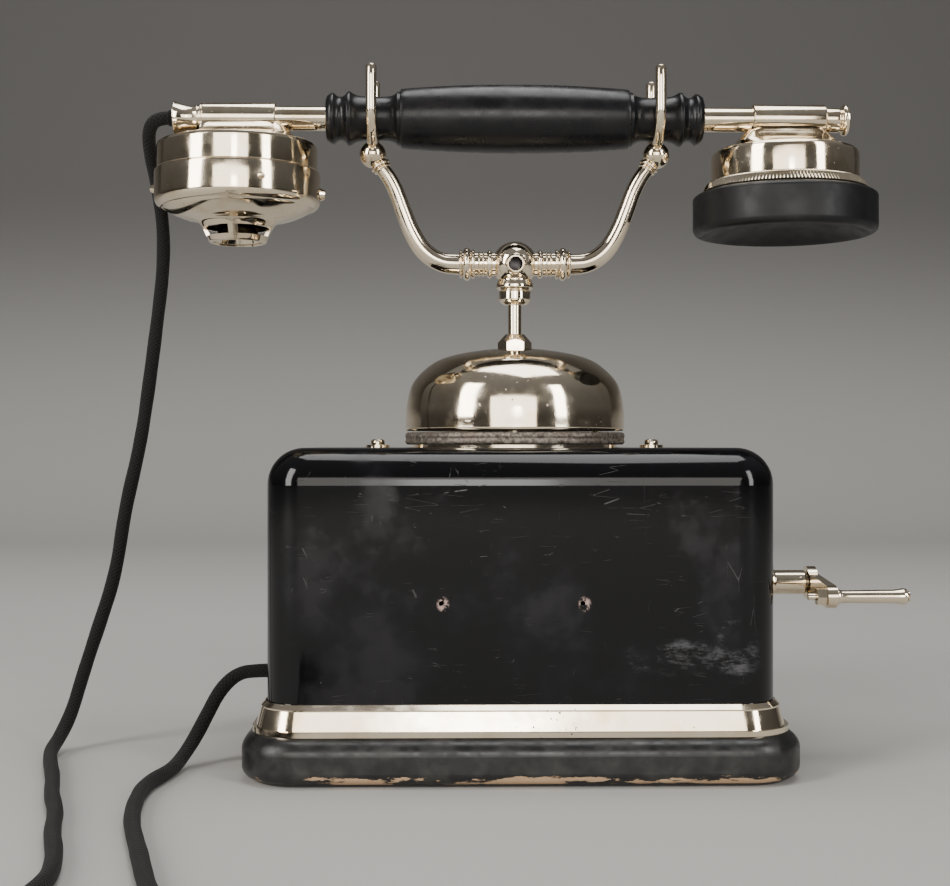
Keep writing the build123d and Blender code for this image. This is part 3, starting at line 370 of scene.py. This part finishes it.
def braid_look():
    """Black braided cotton: two sets of strands crossing round the cord, read from its own UV map, with the
    gaps between strands painted darker as shade.
    """
    look = Look("cord_braid")
    split = look.node("ShaderNodeSeparateXYZ", Vector=look.uv)
    around, along = split.outputs["X"], split.outputs["Y"]
    weave_and_gap_shade = None
    for sign in (1.0, -1.0):
        turns = look.math("ADD", around, look.math("MULTIPLY", along, sign), clamp=False)
        strand = look.ramp(look.math("SINE", turns, 0.0), -0.6, 1.0)
        weave_and_gap_shade = strand if weave_and_gap_shade is None else look.math("MAXIMUM", weave_and_gap_shade, strand)
    fuzz = look.noise(0.7, detail=5, roughness=0.7)
    # Painted shade: the gaps between strands are coloured darker than the strand crowns, and the same mask
    # drives the weave bump.
    base = look.mix(weave_and_gap_shade, (0.001, 0.001, 0.001), (0.007, 0.0065, 0.0065))
    base = look.mix(look.ramp(fuzz, 0.55, 0.8, 0, 0.3), base, (0.018, 0.016, 0.015))
    look.link(base, "Base Color")
    look.set("Roughness", 0.85)
    look.set("Sheen Weight", 0.05)
    look.set("Specular IOR Level", 0.25)
    look.set("Sheen Roughness", 0.5)
    look.bump(weave_and_gap_shade, 0.35, 0.8)
    look.bump(fuzz, 0.10, 0.5)
    return look.material


def metal_look(name, colour, rough, size=4.0):
    """A plain machined or cast metal of the inner works."""
    look = Look(name)
    look.set("Metallic", 1.0)
    dark = tuple(c * 0.6 for c in colour)
    look.link(look.mix(look.ramp(look.noise(size * 3, detail=6), 0.35, 0.75), colour, dark), "Base Color")
    look.link(look.ramp(look.noise(size, detail=6), 0.3, 0.8, rough, rough + 0.2), "Roughness")
    look.bump(look.noise(size * 0.4, detail=4), 0.03, 0.5)
    return look.material


def felt_look():
    look = Look("felt")
    fibres = look.noise(0.6, detail=6, roughness=0.8)
    look.link(look.mix(fibres, (0.008, 0.008, 0.008), (0.05, 0.047, 0.045)), "Base Color")
    look.set("Roughness", 0.95)
    look.set("Sheen Weight", 0.3)
    look.bump(fibres, 0.2, 0.8)
    return look.material


LOOKS = {
    "felt": felt_look(),
    "plinth": plinth_look(),
    "nickel": nickel_look((0.88, 0.765, 0.585), 0.07),
    "enamel": enamel_look(),
    "ebonite": ebonite_look("ebonite", (0.005, 0.005, 0.006), 0.24, (0.012, 0.011, 0.011)),
    "ebonite_matte": ebonite_look("ebonite_matte", (0.006, 0.006, 0.007), 0.40, (0.018, 0.017, 0.017)),
    "bell_ring_metal": ring_look(),
    "steel": metal_look("steel", (0.55, 0.55, 0.56), 0.30),
    "brass": metal_look("brass", (0.72, 0.52, 0.24), 0.25),
    "copper_wire": metal_look("copper_wire", (0.48, 0.20, 0.10), 0.45, 1.0),
    "iron": metal_look("iron", (0.16, 0.15, 0.15), 0.5, 2.0),
    "braid": braid_look(),
}


def dress_frame():
    """Gives every CAD node that shows the look of its material slot."""
    for row in frame["record"]["subparts"]:
        slots = frame["nodes"][row["node"]].data.materials
        slots.clear()
        slots.append(LOOKS[row["material_slot"]])


# ---------------------------------------------------------------- mesh helpers (millimetres)
def add_piece(name, mesh, body, slot, *replaced):
    """Names a finished mesh piece and ties it to its body, its finish and the CAD nodes it stands for."""
    piece = bpy.data.objects.new(name, mesh)
    bpy.context.scene.collection.objects.link(piece)
    if not mesh.materials:
        mesh.materials.append(LOOKS[slot])
    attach(piece, body)
    if replaced:
        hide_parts(*replaced)
    return piece


def finish_mesh(name, work, sharp=38.0):
    """Turns a bmesh in millimetres into a mesh in metres, smooth but for its sharp edges."""
    bmesh.ops.remove_doubles(work, verts=work.verts, dist=1e-5)
    bmesh.ops.recalc_face_normals(work, faces=work.faces)
    bmesh.ops.scale(work, vec=(MM, MM, MM), verts=work.verts)
    mesh = bpy.data.meshes.new(name)
    work.to_mesh(mesh)
    work.free()
    mesh.shade_smooth()
    mesh.set_sharp_from_angle(angle=math.radians(sharp))
    return mesh


def softened(points, radius):
    """A profile with each inner corner rounded by a short arc of up to the given radius."""
    soft = [Vector(points[0])]
    for before, corner, after in zip(points, points[1:], points[2:]):
        before, corner, after = Vector(before), Vector(corner), Vector(after)
        run_in, run_out = before - corner, after - corner
        if run_in.length < 1e-6 or run_out.length < 1e-6:
            continue
        turn = math.pi - run_in.angle(run_out)
        if turn < math.radians(12):
            soft.append(corner)
            continue
        reach = min(radius * math.tan(turn / 2), 0.45 * run_in.length, 0.45 * run_out.length)
        start, end = corner + run_in.normalized() * reach, corner + run_out.normalized() * reach
        for step in range(5):
            t = step / 4
            soft.append(start * (1 - t) ** 2 + corner * 2 * t * (1 - t) + end * t * t)
    soft.append(Vector(points[-1]))
    return soft


def curve_through(points, steps=6):
    """A smooth profile through the points."""
    points = [Vector(p) for p in points]
    ends = [2 * points[0] - points[1], *points, 2 * points[-1] - points[-2]]
    smooth = []
    for a, b, c, d in zip(ends, ends[1:], ends[2:], ends[3:]):
        for step in range(steps):
            t = step / steps
            smooth.append(0.5 * (2 * b + (c - a) * t + (2 * a - 5 * b + 4 * c - d) * t * t
                                 + (3 * b - a - 3 * c + d) * t ** 3))
    return [*smooth, points[-1]]


def turn_profile(work, profile, place, steps=96, closed=False):
    """Adds a turned surface: (radius, height) points swept round the local Z of a placing matrix."""
    rings = []
    for radius, height in profile:
        if radius < 1e-4:
            rings.append([work.verts.new(place @ Vector((0, 0, height)))])
            continue
        rings.append([work.verts.new(place @ Vector((radius * math.cos(2 * math.pi * i / steps),
                                                     radius * math.sin(2 * math.pi * i / steps), height)))
                      for i in range(steps)])
    pairs = list(zip(rings, rings[1:]))
    if closed:
        pairs.append((rings[-1], rings[0]))
    for low, high in pairs:
        for i in range(steps):
            j = (i + 1) % steps
            if len(low) == 1 and len(high) == 1:
                break
            if len(low) == 1:
                work.faces.new((low[0], high[j], high[i]))
            elif len(high) == 1:
                work.faces.new((low[i], low[j], high[0]))
            else:
                work.faces.new((low[i], low[j], high[j], high[i]))


def upright(x=0.0, y=0.0, z=0.0):
    return Matrix.Translation((x, y, z))


def along_x(y, z, x=0.0, side=1):
    """Local Z of the profile runs along +X, or along -X for side -1."""
    return Matrix.Translation((x, y, z)) @ Matrix.Rotation(math.radians(90 * side), 4, "Y")


def turned(name, profile, body, slot, replaced, place=None, steps=96, soft=0.25, closed=False):
    """One turned piece with softly rounded corners."""
    work = bmesh.new()
    if closed:
        profile = [*profile, profile[0]]
    rounded = softened(profile, soft)
    if closed:
        rounded = rounded[:-1]
    turn_profile(work, rounded, place or upright(), steps, closed)
    return add_piece(name, finish_mesh(name, work), body, slot, *replaced)


def tube(work, points, radii, steps=32):
    """Adds a round tube that follows points, with one radius for each."""
    points = [Vector(p) for p in points]
    forward = [(b - a).normalized() for a, b in zip(points, points[1:])]
    forward.append(forward[-1])
    side = forward[0].orthogonal().normalized()
    rings = []
    for index, point in enumerate(points):
        direction = (forward[max(index - 1, 0)] + forward[index]).normalized()
        side = (side - direction * side.dot(direction)).normalized()
        other = direction.cross(side)
        rings.append([work.verts.new(point + (side * math.cos(2 * math.pi * i / steps)
                                              + other * math.sin(2 * math.pi * i / steps)) * radii[index])
                      for i in range(steps)])
    for low, high in zip(rings, rings[1:]):
        for i in range(steps):
            j = (i + 1) % steps
            work.faces.new((low[i], low[j], high[j], high[i]))
    work.faces.new(rings[0])
    work.faces.new(rings[-1])
    return rings


# ---------------------------------------------------------------- turned and formed pieces
def arc(start, via, end, steps=10):
    """Points of a smooth bow from start to end that passes through via."""
    start, via, end = Vector(start), Vector(via), Vector(end)
    pull = 2 * via - 0.5 * (start + end)
    return [start * (1 - t) ** 2 + pull * 2 * t * (1 - t) + end * t * t
            for t in (step / steps for step in range(steps + 1))]


def sphere_profile(radius, low, high, steps=28):
    """(radius, height) points of a ball's side between two latitudes in degrees."""
    angles = [math.radians(low + (high - low) * step / steps) for step in range(steps + 1)]
    return [(radius * math.cos(a), radius * math.sin(a)) for a in angles]


def at_height(profile, height):
    """The radius of a (radius, height) profile at one height."""
    for (r0, h0), (r1, h1) in zip(profile, profile[1:]):
        if h0 <= height <= h1 and h1 > h0:
            return r0 + (r1 - r0) * (height - h0) / (h1 - h0)
    return profile[-1][0]


def make_bell():
    """The gong and the rough ring that it stands on."""
    rim = BELL_RIM_Z
    outside = curve_through([(40.7, rim + 0.5), (40.4, rim + 8.6), (38.1, rim + 17.6), (31.4, rim + 24.5),
                             (23.8, rim + 27.9), (12.4, rim + 30.0), (4.0, rim + 30.6)], 10)
    inside = curve_through([(4.0, rim + 29.0), (12.0, rim + 28.4), (23.1, rim + 26.4), (30.3, rim + 23.3),
                            (36.6, rim + 17.0), (38.8, rim + 8.4), (40.7 - BELL_WALL, rim + 0.1)], 6)
    shell = [*outside, *inside, (39.9, rim), (40.4, rim + 0.05)]
    turned("bell_shell", shell, "root", "nickel", ["bell_gong"], steps=160, soft=0.05, closed=True)
    ring = [(34.4, 112.0), (40.0, 112.0), (40.7, 112.7), (40.8, 113.4), (40.5, 114.2), (40.8, 115.0),
            (40.7, 115.9), (40.1, 116.5), (34.4, 116.5)]
    turned("bell_ring", ring, "root", "bell_ring_metal", ["bell_base_ring"], steps=160, soft=0.2, closed=True)


# Beads along each collar: start, end, foot radius and crown radius.
COLLAR_BEADS = [
    (8.4, 10.4, 4.6, 5.3),
    (11.4, 12.2, 4.4, 4.8),
    (12.9, 13.7, 4.4, 4.8),
    (14.9, 16.3, 5.0, 5.5),
    (16.5, 19.2, 5.3, 6.15),
    (19.5, 20.7, 4.6, 5.3),
]


def make_hub():
    """The bored ball of the cradle with a dark iron-look cup inside the bore as painted shade, and the beaded
    collars on both sides.
    """
    bored = [*sphere_profile(BALL_R, -90, 65, 40), (3.5, 7.9), (3.4, 8.6), (3.1, 8.95), (2.6, 8.95), (2.3, 8.5),
             (2.2, 3.0), (0.0, 3.0)]
    nose_down = Matrix.Translation((0, 0, BALL_Z)) @ Matrix.Rotation(math.radians(94.7), 4, "X")
    work = bmesh.new()
    turn_profile(work, bored, nose_down, 72)
    foot = softened([(0, 164.0), (4.2, 164.0), (5.3, 164.8), (5.9, 165.9), (5.9, 168.9), (5.5, 169.3),
                     (6.3, 169.6), (6.9, 170.3), (6.9, 171.3), (6.2, 173.0), (6.2, 176.0)], 0.5)
    turn_profile(work, foot, upright(), 72)
    add_piece("hub_ball", finish_mesh("hub_ball", work), "cradle", "nickel", "cradle_hub")
    # Painted shade: a dark iron-look cup lines the bore and stands in for the shadow inside the hole.
    turned("hub_bore_painted_shade", [(2.12, 8.0), (2.12, 3.05), (0.0, 3.05)], "cradle", "iron", [], nose_down, 48, 0.1)

    work = bmesh.new()
    for side in (-1, 1):
        profile = [(4.3, 6.0)]
        for start, end, foot_r, crown_r in COLLAR_BEADS:
            crown = arc((foot_r, start), (crown_r, (start + end) / 2), (foot_r, end), 10)
            profile += [(4.35, start - 0.05), *crown, (4.35, end + 0.05)]
        profile += [(0, 20.75)]
        turn_profile(work, profile, along_x(0, BALL_Z, 0, side), 64)
    add_piece("beaded_collars", finish_mesh("beaded_collars", work, 30), "cradle", "nickel", "cradle_collars")


def make_arms():
    """The curved arms, tapering upwards, and the forks with their balls and prongs."""
    route = [(18.8, 0), (22.0, 0.0), (26.5, 0.5), (31.0, 2.6), (35.2, 6.6), (38.8, 12.9), (41.6, 20.0),
             (44.2, 27.0), (47.0, 32.4), (50.0, 36.4), (52.0, 39.4)]
    work = bmesh.new()
    for side in (-1, 1):
        line = curve_through([(side * x, 0, BALL_Z + z) for x, z in route], 8)
        radii = [4.15 - 1.5 * (step / (len(line) - 1)) ** 0.7 for step in range(len(line))]
        tube(work, line, radii, 40)
    add_piece("arms", finish_mesh("arms", work), "cradle", "nickel", "cradle_arms")

    for side, word in ((-1, "left"), (1, "right")):
        work = bmesh.new()
        centre = upright(side * FORK_X, 0, FORK_BALL_Z)
        turn_profile(work, sphere_profile(5.0, -90, 90), centre, 56)
        lean = centre @ Matrix.Rotation(side * math.radians(34 - 180), 4, "Y")
        rings = [(2.4, 3.8), *arc((3.4, 4.2), (3.9, 4.9), (3.4, 5.6), 6), (2.9, 5.7),
                 *arc((3.1, 5.8), (3.5, 6.3), (3.1, 6.8), 6), (2.4, 6.9)]
        turn_profile(work, rings, lean, 48)
        rise = [238.0, 241.0, 246.0, 249.6, 250.25, 250.3]
        line = [(side * FORK_X, -PRONG_Y, z) for z in reversed(rise)]
        for degrees in range(0, 181, 6):
            angle = math.radians(degrees)
            line.append((side * FORK_X, -PRONG_Y * math.cos(angle), PRONG_BEND_Z - PRONG_Y * math.sin(angle)))
        line += [(side * FORK_X, PRONG_Y, z) for z in rise]
        radii = [1.3, 1.5] + [PRONG_R] * (len(line) - 4) + [1.5, 1.3]
        tube(work, line, radii, 36)
        add_piece("fork_" + word + "_piece", finish_mesh("fork_" + word + "_piece", work), "cradle", "nickel",
                  "fork_" + word)


def make_grip():
    """The ebonite hand grip: a barrel, and at each end a neck and two sharp rings with coves between."""
    half = [*arc((12.55, 0), (12.2, 21.5), (10.9, 42.0), 24), (10.75, 42.3), (10.0, 42.5), (9.9, 43.4),
            *arc((9.9, 43.6), (8.6, 45.3), (8.05, 48.0), 10), *arc((8.05, 54.6), (8.5, 58.4), (9.8, 60.9), 10),
            (9.92, 61.2), (9.92, 61.8), (9.8, 62.1), *arc((9.7, 62.2), (7.95, 64.6), (9.3, 67.1), 14),
            (9.42, 67.4), (9.3, 68.2), (8.4, 69.6), (7.4, 70.0), (4.4, 70.0)]
    work = bmesh.new()
    for side in (-1, 1):
        turn_profile(work, half, along_x(0, GRIP_Z, 0, side), 128)
    add_piece("grip", finish_mesh("grip", work, 50), "handset", "ebonite", "handset_grip")


def make_stems():
    """The sleeves on the tube with the flared bosses that carry transmitter and receiver."""
    sleeve = softened([(4.4, 88.6), (5.3, 88.6), (5.7, 89.0), (5.7, 115.5), (5.3, SLEEVE_END),
                       (4.4, SLEEVE_END)], 0.3)
    under_trumpet_z = GRIP_Z - 6.6
    for name, side, x, base, top, radius in (("transmitter_stem", -1, TX_X, TX_TOP_Z, 231.4, 20.5),
                                             ("receiver_stem", 1, RX_X, RX_TOP_Z, 229.4, 18.4)):
        work = bmesh.new()
        turn_profile(work, sleeve, along_x(0, GRIP_Z, 0, side), 96, closed=True)
        length = [(radius, base),
                  *arc((radius, base + 3.6), (radius - 2.2, base + 6.2), (radius - 5.0, top))]
        width = [(radius, base), *arc((radius, base + 0.9), (11.0, base + 3.3), (5.3, top))]
        steps, rings = 144, []
        heights = [base, *(base + 0.9 + (top - base - 0.9) * step / 22 for step in range(23))]
        for height in heights:
            reach, half_width = at_height(length, height), at_height(width, height)
            ring = []
            for i in range(steps):
                angle = 2 * math.pi * i / steps
                wide = half_width / max(abs(math.sin(angle)), 1e-6)
                span = (reach ** -8 + wide ** -8) ** -0.125
                point = Vector((x + span * math.cos(angle), span * math.sin(angle), height))
                if side * point.x > SLEEVE_END:
                    point.z = min(point.z, under_trumpet_z)
                ring.append(work.verts.new(point))
            rings.append(ring)
        for low, high in zip(rings, rings[1:]):
            for i in range(steps):
                j = (i + 1) % steps
                work.faces.new((low[i], low[j], high[j], high[i]))
        work.faces.new(rings[0])
        add_piece(name + "_piece", finish_mesh(name + "_piece", work, 45), "handset", "nickel", name)
    trumpet = [(3.0, SLEEVE_END), (5.5, SLEEVE_END), (5.5, 116.5), (4.7, 116.8), (4.7, 117.4), (5.0, 117.7),
               (4.7, 118.6), (4.5, 120.0), (4.6, 121.6), (5.1, 123.6), (5.8, 125.2), (6.3, 126.0),
               (6.2, 126.4), (5.6, 126.3), (3.9, 124.6), (3.1, 122.6), (3.0, 116.0)]
    turned("trumpet", trumpet, "handset", "nickel", ["cord_trumpet"], along_x(0, GRIP_Z, 0, -1), soft=0.25,
           closed=True)
    binding = [(0.0, 118.0), (3.0, 118.0)]
    for wrap in range(13):
        start = 118.2 + 0.8 * wrap
        binding += arc((2.75, start), (3.0, start + 0.4), (2.75, start + 0.8), 5)
    turned("cord_binding", [*binding, (0.0, 128.7)], "handset", "braid", ["cord_sleeve"],
           along_x(0, GRIP_Z, 0, -1), steps=48, soft=0.02)
    button = [(0.0, SLEEVE_END), (4.6, SLEEVE_END), (4.6, 120.9), (4.1, 121.4), (4.1, 121.9), (5.3, 122.3),
              (5.8, 123.2), (5.6, 124.2), (4.4, 124.8), (0.0, 125.0)]
    turned("button", button, "handset", "nickel", ["end_button"], along_x(0, GRIP_Z, 0, 1), soft=0.5)


def make_transmitter():
    """The case, the cover with its pierced cone, and the dark funnel inside the mouthpiece."""
    place = upright(TX_X)
    cup = [(0.0, TX_TOP_Z), (28.2, TX_TOP_Z), (29.2, 222.9), (29.6, 221.8), (29.6, 213.4), (29.2, 213.0),
           (27.4, 213.0), (27.4, 221.1), (26.8, 221.9), (0.0, 221.9)]
    turned("transmitter_cup", cup, "handset", "nickel", ["transmitter_case"], place, 160, 0.4)
    outside = [(30.1, 213.0), (30.5, 212.7), (30.6, 212.2), (30.6, 203.4),
               *arc((30.6, 203.0), (30.0, 200.9), (28.4, 199.7), 8),
               (27.9, 199.6), (27.6, 199.9), (27.3, 199.5),
               *arc((27.2, 199.3), (22.4, 196.8), (16.6, 195.1), 10),
               *arc((16.4, 195.0), (14.3, 194.1), (13.0, 192.3), 6)]
    inside = [(11.6, 192.3), (13.2, 195.0), (16.0, 196.2), (22.0, 197.9), (26.6, 200.4), (28.0, 201.4),
              (29.0, 203.4), (29.0, 213.0)]
    work = bmesh.new()
    turn_profile(work, [*outside, *inside], place, 160, closed=True)
    lip = [(11.4, 189.1), (10.7, 187.5), (10.4, 187.0), (9.9, 186.8), (9.3, 186.9), (9.0, 187.3),
           (9.9, 189.1)]
    turn_profile(work, lip, place, 96, closed=True)
    for quarter in range(4):
        rings = []
        for step in range(7):
            angle = math.radians(90 * quarter - 8.4 + 2.8 * step)
            flare = 0.10 * max(abs(step - 3) - 1, 0)
            rings.append([work.verts.new(place @ Vector((r * math.cos(angle), r * math.sin(angle), z)))
                          for r, z in ((9.7, 188.9 - flare), (11.7, 192.6 + flare), (13.0, 192.6 + flare),
                                       (11.2, 188.9 - flare))])
        for low, high in zip(rings, rings[1:]):
            for i in range(4):
                j = (i + 1) % 4
                work.faces.new((low[i], low[j], high[j], high[i]))
        work.faces.new(rings[0])
        work.faces.new(rings[-1])
    add_piece("mouth_cover", finish_mesh("mouth_cover", work), "handset", "nickel", "transmitter_cover")
    funnel = [(8.9, 187.5), (8.9, 188.4), (6.6, 192.0), (5.2, 198.0), (4.6, 198.0), (6.0, 191.8), (8.3, 187.5)]
    turned("funnel", funnel, "handset", "nickel", ["mouthpiece_funnel"], place, 96, 0.4, True)


def make_receiver():
    """The receiver cup, its knurled ring and the dished ear cap."""
    place = upright(RX_X)
    cup = [(0.0, RX_TOP_Z), (25.4, RX_TOP_Z), (26.4, 220.9), (27.1, 219.9), (27.3, 218.6), (27.3, 203.0),
           (25.9, 203.0), (25.9, 218.7), (24.8, 219.9), (0.0, 219.9)]
    turned("receiver_cup", cup, "handset", "nickel", ["receiver_case"], place, 160, 0.4)
    work = bmesh.new()
    teeth = 150
    steps = 4 * teeth
    rings = []
    for radius, height, cut in ((27.3, 206.0, 0), (29.6, 206.0, 0), (30.2, 206.1, 0.2), (30.6, 206.5, 0.3),
                                (30.2, 207.3, 0.6), (29.0, 209.2, 0.7), (28.7, 209.6, 0.5), (27.9, 210.0, 0),
                                (27.2, 210.0, 0)):
        ring = []
        for i in range(steps):
            angle = 2 * math.pi * i / steps
            reach = radius - cut * (1.0, 0.5, 0.0, 0.5)[i % 4]
            ring.append(work.verts.new((RX_X + reach * math.cos(angle), reach * math.sin(angle), height)))
        rings.append(ring)
    for low, high in zip(rings, rings[1:]):
        for i in range(steps):
            j = (i + 1) % steps
            work.faces.new((low[i], low[j], high[j], high[i]))
    add_piece("knurl", finish_mesh("knurl", work, 60), "handset", "nickel", "knurled_ring")
    cap = [(27.2, 200.4), (27.2, 206.0), (30.2, 206.0), (32.9, 205.0), (33.8, 204.3), (34.0, 203.6),
           (34.0, 192.9), *arc((34.0, 192.8), (33.2, 191.0), (31.5, 190.3), 8),
           *arc((31.2, 190.4), (20.0, 195.3), (6.4, 197.8), 16), (5.4, 198.2), (5.0, 198.9), (5.0, 200.4)]
    turned("cap", cap, "handset", "ebonite_matte", ["ear_cap"], place, 160, 0.3, True)


def make_crank():
    """The bearing tube on the case wall and the slim turned crank grip."""
    bearing = [(3.05, 84.4), (4.5, 84.4), (4.5, 86.0), (9.3, 86.0), (9.5, 86.3), (9.3, 86.9), (7.6, 88.0),
               (5.2, 88.3), (4.5, 88.8), (4.5, 94.2), (5.1, 94.5), (5.3, 95.5), (5.1, 96.5), (4.5, 96.8),
               (4.5, 107.9), (4.1, 108.5), (3.05, 108.5)]
    turned("bearing", bearing, "root", "nickel", ["crank_bush"], along_x(0, CRANK_Z, 0, 1), 72, 0.3, True)
    handle = [(1.25, 112.5), (2.6, 112.5), (2.75, 112.8), (2.6, 113.4), (2.3, 114.0), (2.25, 117.0),
              (2.4, 126.0), (2.45, 132.6), (2.7, 134.6), (2.95, 136.0), (2.8, 137.1), (2.3, 137.4),
              (1.25, 137.4)]
    turned("crank_handle_piece", handle, "crank_handle", "nickel", ["crank_grip"], along_x(*CRANK_PIN), 56, 0.4,
           True)


# ---------------------------------------------------------------- the cord
CORD_D = 5.0
COIL_CENTRE = (-112.0, -245.0)
COIL_R = 27.5
HANDSET_ROUTE = [
    (-128.5, 0.0, 233.3),
    (-133.0, 0.0, 233.3),
    (-136.8, 2.6, 229.6),
    (-137.2, 8.4, 221.6),
    (-135.6, 13.6, 210.0),
    (-133.6, 15.0, 196.0),
    (-132.9, 12.0, 179.0),
    (-134.4, 8.0, 159.0),
    (-136.6, 4.6, 136.0),
    (-139.2, 0.6, 112.0),
    (-144.6, -1.0, 88.0),
    (-148.2, 0.4, 64.0),
    (-155.2, -0.8, 42.0),
    (-160.6, 0.2, 26.0),
    (-164.0, -1.6, 13.0),
    (-166.6, -9.0, 5.0),
    (-166.8, -21.0, 2.5),
    (-161.4, -40.0, 2.5),
    (-154.4, -62.0, 2.5),
    (-149.0, -84.0, 2.5),
    (-141.4, -106.0, 2.5),
    (-136.8, -128.0, 2.5),
    (-129.2, -152.0, 2.5),
    (-124.6, -176.0, 2.5),
    (-129.0, -200.0, 2.5),
    (-138.0, -220.0, 2.5),
]
CASE_ROUTE = [
    (-84.5, -25.0, 32.0),
    (-92.0, -25.0, 32.0),
    (-99.4, -24.6, 31.0),
    (-105.4, -26.0, 25.4),
    (-109.8, -28.0, 16.6),
    (-114.0, -31.0, 8.2),
    (-117.2, -39.0, 3.0),
    (-118.0, -52.0, 2.5),
    (-122.4, -72.0, 2.5),
    (-120.6, -95.0, 2.5),
    (-116.4, -119.0, 2.5),
    (-107.6, -149.0, 2.5),
    (-99.6, -178.0, 2.5),
    (-92.0, -200.0, 3.0),
    (-85.6, -220.0, 7.0),
]


def coil_turns():
    """One and a half neat turns that start at the left, rise a diameter a turn and end at the right."""
    per_turn, turns = 16, 1.5
    points = []
    for step in range(int(per_turn * turns) + 1):
        angle = math.pi + 2 * math.pi * step / per_turn
        points.append((COIL_CENTRE[0] + COIL_R * math.cos(angle), COIL_CENTRE[1] + COIL_R * math.sin(angle),
                       CORD_D / 2 + 1.02 * CORD_D * step / per_turn))
    return points


def make_cord():
    """The whole braided cord, from the handset through its small coil to the case."""
    control = [*HANDSET_ROUTE, *coil_turns(), *reversed(CASE_ROUTE)]
    curve = bpy.data.curves.new("cord_line", "CURVE")
    curve.dimensions = "3D"
    curve.resolution_u = 14
    spline = curve.splines.new("NURBS")
    spline.points.add(len(control) - 1)
    for point, place in zip(spline.points, control):
        point.co = (*[c * MM for c in place], 1.0)
    spline.order_u = 3
    spline.use_endpoint_u = True
    line = bpy.data.objects.new("cord_line", curve)
    bpy.context.scene.collection.objects.link(line)
    traced = bpy.data.meshes.new_from_object(line)
    path = [vertex.co.copy() for vertex in traced.vertices]
    bpy.data.objects.remove(line)

    steps, strands, pitch = 28, 9, 7.0
    work = bmesh.new()
    points = [p / MM for p in path]
    distance, radii = 0.0, []
    distances = [0.0]
    for a, b in zip(points, points[1:]):
        distance += (b - a).length
        distances.append(distance)
    for d in distances:
        slack = 0.05 * math.sin(d / 7.3) + 0.04 * math.sin(d / 2.9 + 1.0)
        radii.append(CORD_D / 2 - 0.06 + slack)
    rings = tube(work, points, radii, steps)
    index_of = {}
    for ring, d in zip(rings, distances):
        for i, vertex in enumerate(ring):
            index_of[vertex] = (i, d)
    layer = work.loops.layers.uv.new("braid")
    for face in work.faces:
        columns = [index_of[loop.vert][0] for loop in face.loops]
        wraps = len(face.loops) == 4 and max(columns) - min(columns) > steps / 2
        for loop in face.loops:
            column, d = index_of[loop.vert]
            if wraps and column < steps / 2:
                column += steps
            loop[layer].uv = (2 * math.pi * strands * column / steps, 2 * math.pi * strands * d / pitch / 2)
    bmesh.ops.scale(work, vec=(MM, MM, MM), verts=work.verts)
    mesh = bpy.data.meshes.new("handset_cord")
    work.to_mesh(mesh)
    work.free()
    mesh.shade_smooth()
    mesh.materials.append(LOOKS["braid"])
    cord = bpy.data.objects.new("handset_cord", mesh)
    bpy.context.scene.collection.objects.link(cord)
    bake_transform(cord)
    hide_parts("cord_handset_run", "cord_coil", "cord_case_run")
    length = sum((b - a).length for a, b in zip(path, path[1:]))
    print("cord length", round(length, 4))
    make_tie()


def make_tie():
    """A thread tied round the turns of the coil."""
    work = bmesh.new()
    centre = Vector((COIL_CENTRE[0], COIL_CENTRE[1] - COIL_R, 6.6))
    loop = []
    for step in range(33):
        angle = 2 * math.pi * step / 32
        loop.append(centre + Vector((0.35 * math.sin(angle * 0.5), 3.1 * math.cos(angle),
                                     6.2 * math.sin(angle))))
    tube(work, loop, [0.5] * len(loop), 10)
    mesh = finish_mesh("cord_tie", work)
    return add_piece("cord_tie", mesh, "root", "braid")


make_camera()
make_world()
make_stage()
make_lights()
dress_frame()
make_bell()
make_hub()
make_arms()
make_grip()
make_stems()
make_transmitter()
make_receiver()
make_crank()
make_cord()
